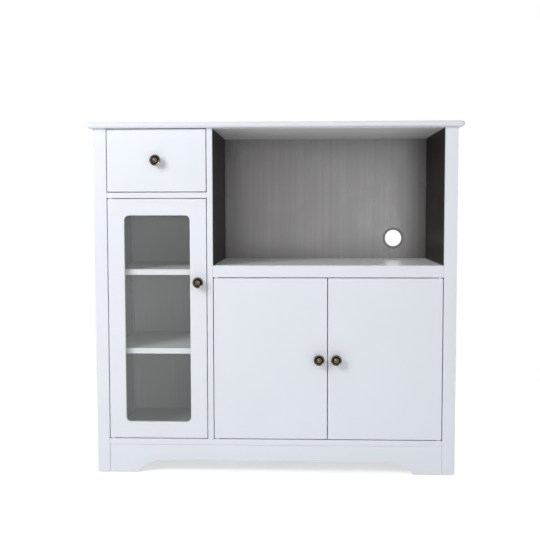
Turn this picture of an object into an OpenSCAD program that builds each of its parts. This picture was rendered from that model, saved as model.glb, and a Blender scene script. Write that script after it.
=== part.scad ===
// Sideboard with an open microwave bay, a glazed display cupboard, a drawer and a two-door cupboard.
// X runs to the right, Y to the back and Z up. The origin is on the floor, in the middle of the overall box.

/* [Overall size] */
// Width over the outer faces of the legs
body_w = 970; // [900:5:1200]
// Depth from the front faces of the legs to the back faces of the back boards
body_d = 374; // [350:2:460]
// Height of the worktop's upper face above the floor
total_h = 950; // [920:5:1100]

/* [Worktop] */
// Thickness of the worktop, whose front and side edges are full half rounds
top_t = 16; // [14:1:22]
// How far the worktop stands out past the legs on each side
top_side_reach = 15; // [5:1:30]
// How far the worktop stands out in front of the legs
top_front_reach = 16; // [5:1:30]

/* [Case] */
// Width and depth of each leg
leg_w = 34; // [30:1:42]
// Thickness of the side panels, the partition and the shelves
panel_t = 15; // [15:1:18]
// Thickness of the bottom board
bottom_t = 16; // [15:1:20]
// Thickness of the hardboard backs
back_t = 3; // [2:0.5:5]
// Thickness of the front apron, the rear rail and the rail under the microwave bay
rail_t = 18; // [16:1:20]
// Height of the rail under the microwave bay
rail_h = 32; // [28:1:45]
// Height of the front apron
apron_h = 77; // [70:1:100]
// How far the apron's face lies behind the faces of the legs
apron_setback = 2; // [1:0.5:4]
// Height of the rear rail
rear_rail_h = 60; // [40:1:70]
// Thickness of the nylon glides under the legs
glide_t = 2; // [1:0.5:5]
// Diameter of the nylon glides
glide_d = 22; // [16:1:26]

/* [Arches between the feet] */
// Height of the arch above the floor
arch_rise = 32; // [24:1:44]
// Length of each curved end of the arch, measured along the floor
arch_run = 65; // [50:1:80]
// Length on the floor of the apron's foot beside a front leg
apron_foot = 78; // [50:1:110]
// Length on the floor of a side panel's foot beside a leg
side_foot = 24; // [15:1:40]

/* [Layout] */
// Clear width of the left-hand column, with the drawer and the display cupboard
column_w = 270; // [240:1:320]
// Clear height of the drawer space
drawer_space_h = 170; // [160:1:200]
// Clear height of the microwave bay
bay_h = 366; // [330:1:400]
// Gap around each door and the drawer front
reveal = 2; // [2:0.1:3]
// Small chamfer on the edges of the doors and the drawer front
edge_ease = 1.5; // [0.5:0.1:2]

/* [Microwave bay] */
// Thickness of the steel sheets that line the bay
liner_t = 1; // [0.8:0.1:1.5]
// Distance from the front faces of the legs to the front edges of the lining
liner_setback = 1; // [0.5:0.5:4]
// Clear bore of the cable grommet in the back of the bay
grommet_bore_d = 50; // [30:1:60]
// Wall of the grommet's sleeve
grommet_wall = 2; // [1.5:0.5:4]
// Width of the grommet's flange outside its sleeve
grommet_flange_w = 5; // [3:1:8]
// Thickness of the grommet's flange
grommet_flange_t = 2; // [1:0.5:3]
// Height of the grommet's centre above the floor of the bay
grommet_rise = 62; // [50:1:120]
// Distance from the grommet's centre to the right-hand wall of the bay
grommet_from_wall = 100; // [60:1:200]

/* [Shelves] */
// Height of the upper display shelf's top face
upper_shelf_z = 556; // [500:1:620]
// Height of the middle display shelf's top face
middle_shelf_z = 340; // [280:1:400]
// Height of the top face of the shelf behind the two doors
cupboard_shelf_z = 323; // [260:1:400]
// Distance from the front faces of the legs to a shelf's front edge
shelf_setback = 24; // [20:1:60]
// Distance from the front faces of the legs to the front row of shelf pins
pin_front_inset = 60; // [45:1:100]
// Distance from the back boards to the rear row of shelf pins
pin_back_inset = 53; // [45:1:100]
// Gap around a shelf at its ends and at the back
shelf_gap = 1; // [0.5:0.5:3]
// Diameter of a shelf pin
shelf_pin_d = 5; // [4:0.5:6]
// Depth to which a shelf pin sits in a panel
shelf_pin_in = 6; // [5:0.5:7]
// Length of a shelf pin that stands out under a shelf
shelf_pin_out = 9; // [6:1:14]
// Spacing of the spare shelf-pin holes, one above another
pin_pitch = 36; // [30:1:40]
// Spare holes above and below each shelf's own hole
pin_spares = 2; // [0:1:2]

/* [Doors] */
// Thickness of the doors and the drawer front
door_t = 16; // [15:1:20]
// Width of the display door's frame members
frame_w = 44.5; // [38:0.5:60]
// Corner radius of the display door's window
window_r = 13; // [6:1:25]
// Thickness of the glass
glass_t = 3; // [3:0.5:4]
// Width of the rebate that holds the glass
rebate_w = 8; // [6:0.5:12]
// Depth of the rebate, from the back of the frame
rebate_d = 5; // [4.5:0.5:7]
// Distance from a door's hinged edge to its pivot
pivot_in = 8; // [7:0.5:10]
// Distance from a door's face to its pivot
pivot_back = 5.5; // [5:0.1:5.7]
// Diameter of the pivot pins
pivot_d = 5; // [4:0.5:5]
// Length of a pivot pin inside the door
pivot_in_door = 18; // [10:1:30]
// Depth to which a pivot bush sits in the board above or below a door
bush_depth = 9; // [6:0.5:10]

/* [Knobs] */
// Diameter of a knob's head
knob_d = 30; // [24:1:36]
// Distance that a knob stands out from its door
knob_reach = 26; // [22:1:32]
// Distance from the display door's free edge to its knob
display_knob_in = 21; // [18:1:26]
// Height of the display door's knob above the floor
display_knob_z = 523; // [400:1:600]
// Distance from the free edge of each lower door to its knob
door_knob_in = 22; // [18:1:40]

/* [Drawer] */
// Thickness of the drawer's sides and back
drawer_board_t = 12; // [12:1:15]
// Thickness of the drawer's bottom
drawer_bottom_t = 3; // [3:0.5:4]
// Height of the drawer's sides
drawer_side_h = 116; // [90:1:130]
// Space between the drawer and the back board
drawer_back_gap = 25; // [12:1:60]
// How far the drawer pulls out before its rollers meet their stops
drawer_travel = 260; // [180:5:265]
// Height of the drawer bottom above the lower edges of the sides
drawer_bottom_rise = 8; // [6:1:15]
// Depth of the groove that holds the drawer bottom
groove_d = 5; // [4:0.5:6]

/* [Drawer runners] */
// Space between a wall and the drawer's side
runner_gap = 12.7; // [12.5:0.1:14]
// Thickness of the runners' sheet steel
runner_t = 1.2; // [1:0.1:1.5]
// How much shorter the runners are than the drawer's sides
runner_short = 10; // [6:1:30]
// Height of the stop that ends the drawer's travel, above the case runner's floor
runner_stop_h = 3; // [2:0.5:4]
// Height from the drawer space's floor to the underside of the case runner
runner_rise = 10; // [6:0.5:14]
// Diameter of the nylon rollers
roller_d = 14; // [12:0.5:15]
// Width of the nylon rollers
roller_w = 8; // [6:0.5:8]
// Diameter of the roller axles
axle_d = 4; // [3:0.5:5]

/* [Fittings] */
// Diameter of a cam lock
cam_d = 15; // [12:0.5:15]
// Depth of a cam lock
cam_depth = 12; // [11:0.5:12.5]
// Distance from a board's end to the middle of a cam lock
cam_in = 24; // [20:1:34]
// Distance from the front and the back of the case to the rows of cam locks
cam_row_inset = 62; // [50:1:100]
// Diameter of a cam bolt
cam_bolt_d = 5; // [4:0.5:6]
// Depth to which a cam bolt goes into the board that it holds
cam_bolt_in = 9; // [6:0.5:10]
// Diameter of the wood dowels
dowel_d = 6; // [5:1:8]
// Length of the wood dowels
dowel_l = 20; // [16:1:20]
// Distance from the ends of a leg to its outer side dowels
dowel_end = 70; // [50:5:120]
// Diameter of the screws that hold the partition to the bottom board
screw_d = 5; // [4:0.5:6]
// Length of those screws, without their heads
screw_l = 50; // [40:1:60]
// Diameter of the small screws in the runners and the glass clips
small_screw_d = 3; // [2.5:0.1:3.2]
// Length of the small screws
small_screw_l = 10; // [8:0.5:11]
// Diameter of a back nail
nail_d = 1.8; // [1.4:0.1:2.2]
// Length of a back nail
nail_l = 20; // [16:1:25]
// Spacing of the back nails, at most
nail_pitch = 150; // [80:5:200]
// Width of the single magnetic catch
catch_w = 40; // [30:1:50]
// Width of the double catch between the two lower doors
double_catch_w = 64; // [60:1:80]
// Depth of the magnetic catches
catch_d = 20; // [14:1:30]
// Height of the magnetic catches
catch_h = 14; // [12:1:18]
// Thickness of the steel strike plates on the doors
strike_t = 1.2; // [0.8:0.1:1.5]

/* [Hidden] */
$fn = 48;

// Clearances between pieces that fit into one another
fit = 0.1;            // radial, on plugs, cams and screws in plates
run_fit = 0.05;       // radial, on pivots, axles, dowels and pins
magnet_gap = 0.3;     // between a catch and its strike plate
glass_gap = 1;        // around the glass in its rebate
seam_gap = 1;         // between neighbouring back boards
groove_gap = 0.2;     // around the drawer's bottom in its groove
hole_end = 1;         // past the end of a dowel, pin or screw in a blind hole
over = 1;             // how far a cut runs past the face that it starts from

// Nails and screws
nail_head_d = 5;
nail_head_t = 0.8;
screw_head_d = 2 * screw_d;
screw_head_h = 4;
screw_head_sunk = 0.5;
small_head_d = 6;
small_head_h = 1.2;

// Planes of the case
front_reach = max(knob_reach, top_front_reach);
front_y = -(body_d + nail_head_t - front_reach) / 2;
back_y = front_y + body_d;
inner_back_y = back_y - back_t;
outer_x = body_w / 2;
inner_x = outer_x - leg_w;
part_l = -inner_x + column_w;
part_r = part_l + panel_t;
part_mid = (part_l + part_r) / 2;
case_top = total_h - top_t;
bottom_under = glide_t + apron_h;
floor_z = bottom_under + bottom_t;
drawer_floor_z = case_top - drawer_space_h;
drawer_board_under = drawer_floor_z - panel_t;
bay_z = case_top - bay_h;
bay_board_z = bay_z - liner_t;
rail_under = bay_z - rail_h;
rear_leg_y = inner_back_y - leg_w;
side_mid_x = inner_x + panel_t / 2;
bay_seam_z = bay_board_z - panel_t / 2;

// Planes of the doors and the drawer front
door_back_y = front_y + door_t;
column_door_x = [-inner_x + reveal, part_l - reveal];
meeting_x = (part_r + inner_x) / 2;
left_door_x = [part_r + reveal, meeting_x - reveal / 2];
right_door_x = [meeting_x + reveal / 2, inner_x - reveal];
display_door_z = [floor_z + reveal, drawer_board_under - reveal];
lower_door_z = [floor_z + reveal, rail_under - reveal];
drawer_front_z = [drawer_floor_z + reveal, case_top - reveal];

// Knobs, with their screws from behind
column_knob_x = (column_door_x[0] + column_door_x[1]) / 2;
drawer_knob_z = (drawer_front_z[0] + drawer_front_z[1]) / 2;
display_knob_x = column_door_x[1] - display_knob_in;
left_knob_x = left_door_x[1] - door_knob_in;
right_knob_x = right_door_x[0] + door_knob_in;
lower_knob_z = (lower_door_z[0] + lower_door_z[1]) / 2;
knob_screw_d = 4;
knob_thread = 12;
knob_screw_head_d = 9;
knob_screw_head_h = 2.5;

// Pivots: the flange of a bush and the collar of its pin share the gap above or below a door
pivot_y = front_y + pivot_back;
display_pivot_x = column_door_x[0] + pivot_in;
left_pivot_x = left_door_x[0] + pivot_in;
right_pivot_x = right_door_x[1] - pivot_in;
bush_wall = 1.5;
bush_flange_w = 1;
bush_d = pivot_d + 2 * run_fit + 2 * bush_wall;
bush_flange_d = bush_d + 2 * bush_flange_w;
bush_flange_t = reveal / 2 - fit;
collar_d = pivot_d + 4;
collar_t = reveal - bush_flange_t - fit;

// Window, glass and clips of the display door
window_x = [column_door_x[0] + frame_w, column_door_x[1] - frame_w];
window_z = [display_door_z[0] + frame_w, display_door_z[1] - frame_w];
window_mid = [(window_x[0] + window_x[1]) / 2, (window_z[0] + window_z[1]) / 2];
window_half = [(window_x[1] - window_x[0]) / 2, (window_z[1] - window_z[0]) / 2];
glass_y = door_back_y - rebate_d;
clip_w = 20;
clip_on_frame = 10;
clip_on_glass = 5;
clip_t = 1.5;
clip_end = 60;

// Catches and strike plates
catch_y = door_back_y + strike_t + magnet_gap;
catch_from_side = 5;
display_catch_x = part_l - catch_from_side - catch_w;
strike_share = 0.7;   // of a catch's width
strike_drop = 2;      // by which a strike plate is lower than its catch
strike_edge = 2;      // from a strike plate to the door's edges
strike_w = catch_w * strike_share;
strike_h = catch_h - strike_drop;

// Runners and rollers, seen from the side
drawer_y = [door_back_y, inner_back_y - drawer_back_gap];
drawer_x = [-inner_x + runner_gap, part_l - runner_gap];
runner_z = drawer_floor_z + runner_rise;
runner_floor = runner_z + runner_t;
rear_axle_z = runner_floor + fit + roller_d / 2;
roller_headroom = 1;
track_z = rear_axle_z + roller_d / 2 + roller_headroom;
front_axle_z = track_z - fit - roller_d / 2;
runner_front_gap = 2;
runner_rear_gap = 3;
case_runner_y = [door_back_y + runner_front_gap, drawer_y[1] - runner_short];
drawer_runner_y = [door_back_y, case_runner_y[1] - runner_rear_gap];
front_axle_y = case_runner_y[0] + roller_d / 2;
rear_axle_y = drawer_runner_y[1] - roller_d / 2;
roller_reach = sqrt(pow(roller_d / 2, 2) - pow(roller_d / 2 - runner_stop_h, 2));
runner_stop_y = rear_axle_y - drawer_travel - roller_reach - magnet_gap;

// Runners and rollers, seen from the front, measured from the wall
roller_side_gap = 1;    // between a roller and the steel beside it
runner_pass_gap = 0.5;  // between the case runner and the drawer runner that moves past it
runner_top_gap = 3;     // between the case runner's upper edge and the drawer runner's track
runner_edge = 2;        // from the drawer runner's edge to the inner face of the drawer's side
roller_wall_gap = runner_t + roller_side_gap;
axle_cap = 0.6;
axle_cap_d = axle_d + 2;
case_runner_w = runner_gap - runner_t - runner_pass_gap;
case_runner_top = track_z - runner_top_gap;
drawer_runner_w = [runner_gap - case_runner_w, runner_gap + drawer_board_t - runner_edge];
drawer_runner_h = 14;
runner_screw_end = 40;

// Drawer box
drawer_z = track_z + runner_t;
drawer_bottom_z = drawer_z + drawer_bottom_rise;
drawer_inner_x = [drawer_x[0] + drawer_board_t, drawer_x[1] - drawer_board_t];
drawer_back_y = drawer_y[1] - drawer_board_t;
drawer_side_mid = drawer_board_t / 2;
drawer_cam_skin = 3;
drawer_cam_rise = 0.6;           // as a share of the sides' height
drawer_screw_rise = [0.3, 0.8];  // as shares of the sides' height
drawer_cam_depth = drawer_board_t - drawer_cam_skin;
drawer_cam_z = drawer_z + drawer_side_h * drawer_cam_rise;
drawer_screw_z = [for (k = drawer_screw_rise) drawer_z + drawer_side_h * k];
drawer_screw_d = 3.5;
drawer_screw_head_d = 2 * drawer_screw_d;
drawer_screw_l = 30;

// Rows of fittings, from front to back
cam_rows = [front_y + cam_row_inset, inner_back_y - cam_row_inset];
pin_rows = [front_y + pin_front_inset, inner_back_y - pin_back_inset];
cam_bolt_head_d = cam_bolt_d + 2;
cam_bolt_head_l = 3;
cam_bolt_start = 0.5;
bolt_rise = panel_t / 2;
cam_slot = [10, 1.6, 1.5];       // length, width and depth of each arm of the cross in a cam lock

WHITE = "#f2f4f8";
GREY = "#8d918f";
HARDBOARD = "#b9b4a8";
STEEL = "#8a8d8f";
ZINC = "#b5b8bb";
BRONZE = "#5f574a";
NYLON = "#e8e8e4";
BEECH = "#d2ab74";
PLASTIC = "#c9cccd";
GLASS = [0.80, 0.88, 0.88, 0.3];

// ---------- Shared shapes ----------

// A block given by its spans along X, Y and Z
module block(x, y, z) {
    translate([x[0], y[0], z[0]]) cube([x[1] - x[0], y[1] - y[0], z[1] - z[0]]);
}

// A rectangle from the origin whose corners are cut by e
module cut_rectangle(w, h, e) {
    polygon([[e, 0], [w - e, 0], [w, e], [w, h - e], [w - e, h], [e, h], [0, h - e], [0, e]]);
}

// A block with a small chamfer on all its edges
module eased_block(x, y, z) {
    w = x[1] - x[0];
    d = y[1] - y[0];
    h = z[1] - z[0];
    translate([x[0], y[0], z[0]]) intersection() {
        linear_extrude(h) cut_rectangle(w, d, edge_ease);
        translate([0, d, 0]) rotate([90, 0, 0]) linear_extrude(d) cut_rectangle(w, h, edge_ease);
        rotate([90, 0, 90]) linear_extrude(w) cut_rectangle(d, h, edge_ease);
    }
}

// Round rods along X, Y and Z, starting at p
module rod_x(p, d, l) {
    translate(p) rotate([0, 90, 0]) cylinder(d = d, h = l);
}

module rod_y(p, d, l) {
    translate(p) rotate([-90, 0, 0]) cylinder(d = d, h = l);
}

module rod_z(p, d, l) {
    translate(p) cylinder(d = d, h = l);
}

// A round rod that starts in the face at x and goes l into it, towards s, with a stretch e before the face
module rod_into_x(x, s, y, z, d, l, e = 0) {
    rod_x([min(x - s * e, x + s * l), y, z], d, l + e);
}

module rod_into_z(x, y, z, s, d, l, e = 0) {
    rod_z([x, y, min(z - s * e, z + s * l)], d, l + e);
}

// An upright block with rounded corners, seen from the front
module rounded_window(x, y, z, r) {
    block([x[0] + r, x[1] - r], y, z);
    block(x, y, [z[0] + r, z[1] - r]);
    for (cx = [x[0] + r, x[1] - r], cz = [z[0] + r, z[1] - r])
        rod_y([cx, y[0], cz], 2 * r, y[1] - y[0]);
}

// Puts its children at the left wall of the drawer space, and mirrored at the right one
module at_both_walls() {
    translate([-inner_x, 0, 0]) children();
    translate([part_l, 0, 0]) mirror([1, 0, 0]) children();
}

// ---------- Back nails ----------

function rows(a, b) = let (n = ceil((b - a) / nail_pitch)) [for (i = [0 : n]) a + (b - a) * i / n];

nail_end = 30;
nail_stagger = 30;
seam_nail = panel_t / 4;
back_edge_share = 0.4;  // of a leg's width that stays bare beside the back boards
leg_nail_share = 0.62;  // of a leg's width, from its outer face to its nails
back_edge_x = outer_x - leg_w * back_edge_share;
leg_nail_x = outer_x - leg_w * leg_nail_share;
low_nails_z = bottom_under + bottom_t / 2;

left_leg_nails = [for (z = rows(bottom_under + nail_end, case_top - nail_end)) [-leg_nail_x, z]];
right_leg_nails = [for (z = concat(rows(bottom_under + nail_end, bay_seam_z - nail_end),
                                   rows(bay_seam_z + nail_end, case_top - nail_end))) [leg_nail_x, z]];
partition_left_nails = [for (z = rows(floor_z + nail_end, case_top - nail_end)) [part_mid - seam_nail, z]];
partition_right_nails = [for (z = concat(rows(floor_z + nail_end + nail_stagger, bay_seam_z - nail_end),
                                         rows(bay_seam_z + nail_end, case_top - nail_end - nail_stagger)))
    [part_mid + seam_nail, z]];
bottom_nails = [for (x = concat(rows(-inner_x + nail_end, part_l - nail_end),
                                rows(part_r + nail_end, inner_x - nail_end))) [x, low_nails_z]];
bay_shelf_nails = [for (x = rows(part_r + nail_end, inner_x - nail_end), s = [-1, 1])
    [x, bay_seam_z + s * seam_nail]];

module nail_holes(at) {
    for (n = at)
        rod_y([n[0], back_y - nail_l - hole_end, n[1]], nail_d + 2 * run_fit, nail_l + hole_end + over);
}

// ---------- Cams and their bolts ----------

// Cams in the underside of a flat board: [end of the board, way that the bolt points, underside]
bottom_cams = [[-inner_x, -1, bottom_under], [inner_x, 1, bottom_under]];
drawer_cams = [[-inner_x, -1, drawer_board_under], [part_l, 1, drawer_board_under]];
bay_cams = [[part_r, -1, bay_board_z - panel_t], [inner_x, 1, bay_board_z - panel_t]];
flat_cams = concat(bottom_cams, drawer_cams, bay_cams);

// Cams near the top of an upright board: [face that holds the cam, way into the board]
top_cams = [[-inner_x, -1], [inner_x, 1], [part_l, 1]];
top_cam_z = case_top - cam_in;

module flat_cam_cuts(cams) {
    for (c = cams, y = cam_rows) {
        rod_into_z(c[0] - c[1] * cam_in, y, c[2], 1, cam_d + 2 * fit, cam_depth, over);
        rod_into_x(c[0], -c[1], y, c[2] + bolt_rise, cam_bolt_head_d + 2 * fit, cam_in, over);
    }
}

module flat_bolt_cuts(cams) {
    for (c = cams, y = cam_rows)
        rod_into_x(c[0], c[1], y, c[2] + bolt_rise, cam_bolt_d + 2 * run_fit, cam_bolt_in, over);
}

module top_cam_cuts(c) {
    for (y = cam_rows) {
        rod_into_x(c[0], c[1], y, top_cam_z, cam_d + 2 * fit, cam_depth, over);
        rod_z([c[0] + c[1] * bolt_rise, y, top_cam_z], cam_bolt_head_d + 2 * fit, cam_in + over);
    }
}

module top_bolt_cuts() {
    for (c = top_cams, y = cam_rows)
        rod_into_z(c[0] + c[1] * bolt_rise, y, case_top, 1, cam_bolt_d + 2 * run_fit, cam_bolt_in, over);
}

// ---------- Dowels, each given by its middle and its axis ----------

apron_dowel_drop = [0.25, 0.7];       // below the bottom board, as shares of the apron's height
rear_rail_dowel_drop = [0.25, 0.75];  // below the bottom board, as shares of the rail's height
base_dowel_at = [0.2, 0.55, 0.8];     // along the bottom board, as shares of its length, clear of its nails

apron_mid_y = front_y + apron_setback + rail_t / 2;
rear_rail_mid_y = inner_back_y - rail_t / 2;
front_leg_mid_y = front_y + leg_w / 2;
rear_leg_mid_y = rear_leg_y + leg_w / 2;
base_dowel_x = [for (k = base_dowel_at) (2 * k - 1) * inner_x];
leg_dowel_z = [for (k = [0, 0.5, 1])
    bottom_under + dowel_end + k * (case_top - bottom_under - 2 * dowel_end)];

side_dowels = [for (s = [-1, 1], y = [front_y + leg_w, rear_leg_y], z = leg_dowel_z)
    [[s * side_mid_x, y, z], "y"]];
top_dowels = [for (s = [-1, 1], y = [front_leg_mid_y, rear_leg_mid_y])
    [[s * (outer_x - leg_w / 2), y, case_top], "z"]];
apron_dowels = [for (s = [-1, 1], k = apron_dowel_drop)
    [[s * inner_x, apron_mid_y, bottom_under - apron_h * k], "x"]];
rear_rail_dowels = [for (s = [-1, 1], k = rear_rail_dowel_drop)
    [[s * inner_x, rear_rail_mid_y, bottom_under - rear_rail_h * k], "x"]];
bay_rail_dowels = [for (x = [part_r, inner_x]) [[x, front_y + rail_t / 2, rail_under + rail_h / 2], "x"]];
apron_top_dowels = [for (x = base_dowel_x) [[x, apron_mid_y, bottom_under], "z"]];
rear_rail_top_dowels = [for (x = base_dowel_x) [[x, rear_rail_mid_y, bottom_under], "z"]];
bay_edge_dowels = [for (k = [1, 2, 3])
    [[part_r + k * (inner_x - part_r) / 4, front_y + rail_t, bay_board_z - panel_t / 2], "y"]];
all_dowels = concat(side_dowels, top_dowels, apron_dowels, rear_rail_dowels, bay_rail_dowels,
                    apron_top_dowels, rear_rail_top_dowels, bay_edge_dowels);

module dowel_rods(at, radial = 0, end = 0) {
    d = dowel_d + 2 * radial;
    l = dowel_l + 2 * end;
    for (w = at) {
        if (w[1] == "x") rod_x(w[0] - [l / 2, 0, 0], d, l);
        if (w[1] == "y") rod_y(w[0] - [0, l / 2, 0], d, l);
        if (w[1] == "z") rod_z(w[0] - [0, 0, l / 2], d, l);
    }
}

module dowel_holes(at) {
    dowel_rods(at, run_fit, hole_end);
}

// ---------- Shelf pins and pivot seats ----------

function pin_z(shelf_z) = shelf_z - panel_t - shelf_pin_d / 2;

// Pin holes in the face at x, going towards s, for a shelf whose top is at shelf_z
module pin_holes(x, s, shelf_z) {
    for (y = pin_rows, k = [-pin_spares : pin_spares])
        rod_into_x(x, s, y, pin_z(shelf_z) + k * pin_pitch, shelf_pin_d + 2 * run_fit, shelf_pin_in + fit,
                   over);
}

// A seat for a pivot bush, in a board whose face is at z, going towards s
module bush_seat(x, z, s) {
    rod_into_z(x, pivot_y, z, s, bush_d + 2 * run_fit, bush_depth, over);
}

// ---------- Case ----------

module top_board() {
    r = top_t / 2;
    side = outer_x + top_side_reach - r;
    nose_y = front_y - top_front_reach + r;
    color(WHITE) difference() {
        union() {
            block([-side, side], [nose_y, back_y], [case_top, total_h]);
            rod_x([-side, nose_y, case_top + r], top_t, 2 * side);
            for (s = [-1, 1]) {
                rod_y([s * side, nose_y, case_top + r], top_t, back_y - nose_y);
                translate([s * side, nose_y, case_top + r]) sphere(d = top_t);
            }
        }
        top_bolt_cuts();
        dowel_holes(top_dowels);
    }
}

// A leg on the side s, -1 for left and 1 for right, with its front face at y
module leg(s, y, dowels) {
    x = s > 0 ? [inner_x, outer_x] : [-outer_x, -inner_x];
    color(WHITE) difference() {
        block(x, [y, y + leg_w], [glide_t, case_top]);
        dowel_holes([for (d = concat(side_dowels, top_dowels, dowels))
            if (s * d[0][0] > 0 && abs(d[0][1] - y - leg_w / 2) <= leg_w) d]);
        rod_z([s * (outer_x - leg_w / 2), y + leg_w / 2, glide_t - over], glide_nail_d + 2 * run_fit,
              glide_nail_l + hole_end + over);
        nail_holes(y > 0 ? (s > 0 ? right_leg_nails : left_leg_nails) : []);
    }
}

module left_front_leg() { leg(-1, front_y, apron_dowels); }
module right_front_leg() { leg(1, front_y, concat(apron_dowels, bay_rail_dowels)); }
module left_rear_leg() { leg(-1, rear_leg_y, rear_rail_dowels); }
module right_rear_leg() { leg(1, rear_leg_y, rear_rail_dowels); }

// The space under an arch of length l between two feet, seen from the side.
// Its curved ends are parts of circles that run level into the straight stretch.
arch_r = (pow(arch_run, 2) + pow(arch_rise, 2)) / (2 * arch_rise);

module arch_space(l, foot) {
    crown = foot + arch_run;
    difference() {
        union() {
            translate([crown, 0]) square([l - 2 * crown, arch_rise]);
            for (c = [crown, l - crown]) translate([c, arch_rise - arch_r]) circle(r = arch_r, $fn = 96);
        }
        translate([-arch_r, -3 * arch_r]) square([l + 2 * arch_r, 3 * arch_r]);
    }
}

// A side panel between two legs, level with their inner faces
module side_panel(s, bolts, shelves) {
    x = s > 0 ? [inner_x, inner_x + panel_t] : [-inner_x - panel_t, -inner_x];
    y = [front_y + leg_w, rear_leg_y];
    color(WHITE) difference() {
        block(x, y, [glide_t, case_top]);
        translate([x[0] - over, y[0], glide_t]) rotate([90, 0, 90]) linear_extrude(panel_t + 2 * over)
            arch_space(y[1] - y[0], side_foot);
        dowel_holes([for (d = side_dowels) if (s * d[0][0] > 0) d]);
        top_cam_cuts([s * inner_x, s]);
        flat_bolt_cuts(bolts);
        for (z = shelves) pin_holes(s * inner_x, s, z);
        if (s < 0) runner_screw_rods([-inner_x], fit, hole_end);
    }
}

module left_side_panel() {
    side_panel(-1, [bottom_cams[0], drawer_cams[0]], [upper_shelf_z, middle_shelf_z]);
}

module right_side_panel() {
    side_panel(1, [bottom_cams[1], bay_cams[1]], [cupboard_shelf_z]);
}

module partition() {
    color(WHITE) difference() {
        block([part_l, part_r], [front_y, inner_back_y], [floor_z, case_top]);
        nail_holes(concat(partition_left_nails, partition_right_nails));
        flat_bolt_cuts([drawer_cams[1], bay_cams[0]]);
        top_cam_cuts(top_cams[2]);
        dowel_holes([bay_rail_dowels[0]]);
        for (z = [upper_shelf_z, middle_shelf_z]) pin_holes(part_l, 1, z);
        pin_holes(part_r, -1, cupboard_shelf_z);
        partition_screw_rods(run_fit, hole_end);
        runner_screw_rods([part_l], fit, hole_end);
    }
}

module bottom_panel() {
    color(WHITE) difference() {
        block([-inner_x, inner_x], [front_y, inner_back_y], [bottom_under, floor_z]);
        flat_cam_cuts(bottom_cams);
        nail_holes(bottom_nails);
        dowel_holes(concat(apron_top_dowels, rear_rail_top_dowels));
        for (x = [display_pivot_x, left_pivot_x, right_pivot_x]) bush_seat(x, floor_z, -1);
        partition_screw_rods(run_fit, hole_end);
    }
}

module front_apron() {
    y = [front_y + apron_setback, front_y + apron_setback + rail_t];
    color(WHITE) difference() {
        block([-inner_x, inner_x], y, [glide_t, bottom_under]);
        translate([-inner_x, y[1] + over, glide_t]) rotate([90, 0, 0]) linear_extrude(rail_t + 2 * over)
            arch_space(2 * inner_x, apron_foot);
        dowel_holes(concat(apron_dowels, apron_top_dowels));
    }
}

module rear_rail() {
    color(WHITE) difference() {
        block([-inner_x, inner_x], [inner_back_y - rail_t, inner_back_y],
              [bottom_under - rear_rail_h, bottom_under]);
        dowel_holes(concat(rear_rail_dowels, rear_rail_top_dowels));
    }
}

module drawer_shelf() {
    color(WHITE) difference() {
        block([-inner_x, part_l], [front_y, inner_back_y], [drawer_board_under, drawer_floor_z]);
        flat_cam_cuts(drawer_cams);
        bush_seat(display_pivot_x, drawer_board_under, 1);
    }
}

module bay_shelf() {
    color(WHITE) difference() {
        block([part_r, inner_x], [front_y + rail_t, inner_back_y], [bay_board_z - panel_t, bay_board_z]);
        flat_cam_cuts(bay_cams);
        nail_holes(bay_shelf_nails);
        dowel_holes(bay_edge_dowels);
    }
}

module bay_front_rail() {
    color(WHITE) difference() {
        block([part_r, inner_x], [front_y, front_y + rail_t], [rail_under, bay_board_z]);
        dowel_holes(concat(bay_rail_dowels, bay_edge_dowels));
        bush_seat(left_pivot_x, rail_under, 1);
        bush_seat(right_pivot_x, rail_under, 1);
    }
}

// ---------- Back boards and the lining of the bay ----------

module back_board(x, z, nails) {
    color(HARDBOARD) difference() {
        block(x, [inner_back_y, back_y], z);
        nail_holes(nails);
        grommet_hole();
    }
}

module back_panel_left() {
    back_board([-back_edge_x, part_mid - seam_gap / 2], [bottom_under, case_top],
               concat(left_leg_nails, partition_left_nails, bottom_nails));
}

module back_panel_lower() {
    back_board([part_mid + seam_gap / 2, back_edge_x], [bottom_under, bay_seam_z - seam_gap / 2],
               concat(right_leg_nails, partition_right_nails, bottom_nails, bay_shelf_nails));
}

module back_panel_bay() {
    back_board([part_mid + seam_gap / 2, back_edge_x], [bay_seam_z + seam_gap / 2, case_top],
               concat(right_leg_nails, partition_right_nails, bay_shelf_nails));
}

// The sleeve of the grommet passes through the back board and the steel lining
grommet_at = [inner_x - grommet_from_wall, inner_back_y - liner_t, bay_z + grommet_rise];
grommet_d = grommet_bore_d + 2 * grommet_wall;

module grommet_hole() {
    rod_y(grommet_at - [0, over, 0], grommet_d + 2 * fit, liner_t + back_t + 2 * over);
}

module cable_grommet() {
    flange_at = grommet_at - [0, grommet_flange_t, 0];
    l = grommet_flange_t + liner_t + back_t;
    color(PLASTIC) difference() {
        union() {
            rod_y(flange_at, grommet_d + 2 * grommet_flange_w, grommet_flange_t);
            rod_y(flange_at, grommet_d, l);
        }
        rod_y(flange_at - [0, over, 0], grommet_bore_d, l + 2 * over);
    }
}

liner_y = [front_y + liner_setback, inner_back_y];
liner_wall_y = [liner_y[0], inner_back_y - liner_t];
liner_wall_z = [bay_board_z, case_top - liner_t];

module bay_liner_sides() {
    color(STEEL) {
        block([part_r, part_r + liner_t], liner_wall_y, liner_wall_z);
        block([inner_x - liner_t, inner_x], liner_wall_y, liner_wall_z);
    }
}

module bay_liner_top() {
    color(STEEL) block([part_r, inner_x], liner_y, [case_top - liner_t, case_top]);
}

// The floor sheet lies between the wall sheets and in front of the back sheet
module bay_liner_floor() {
    edge = liner_t + fit;
    color(STEEL) block([part_r + edge, inner_x - edge], [liner_y[0], inner_back_y - edge],
                       [bay_board_z, bay_z]);
}

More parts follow.
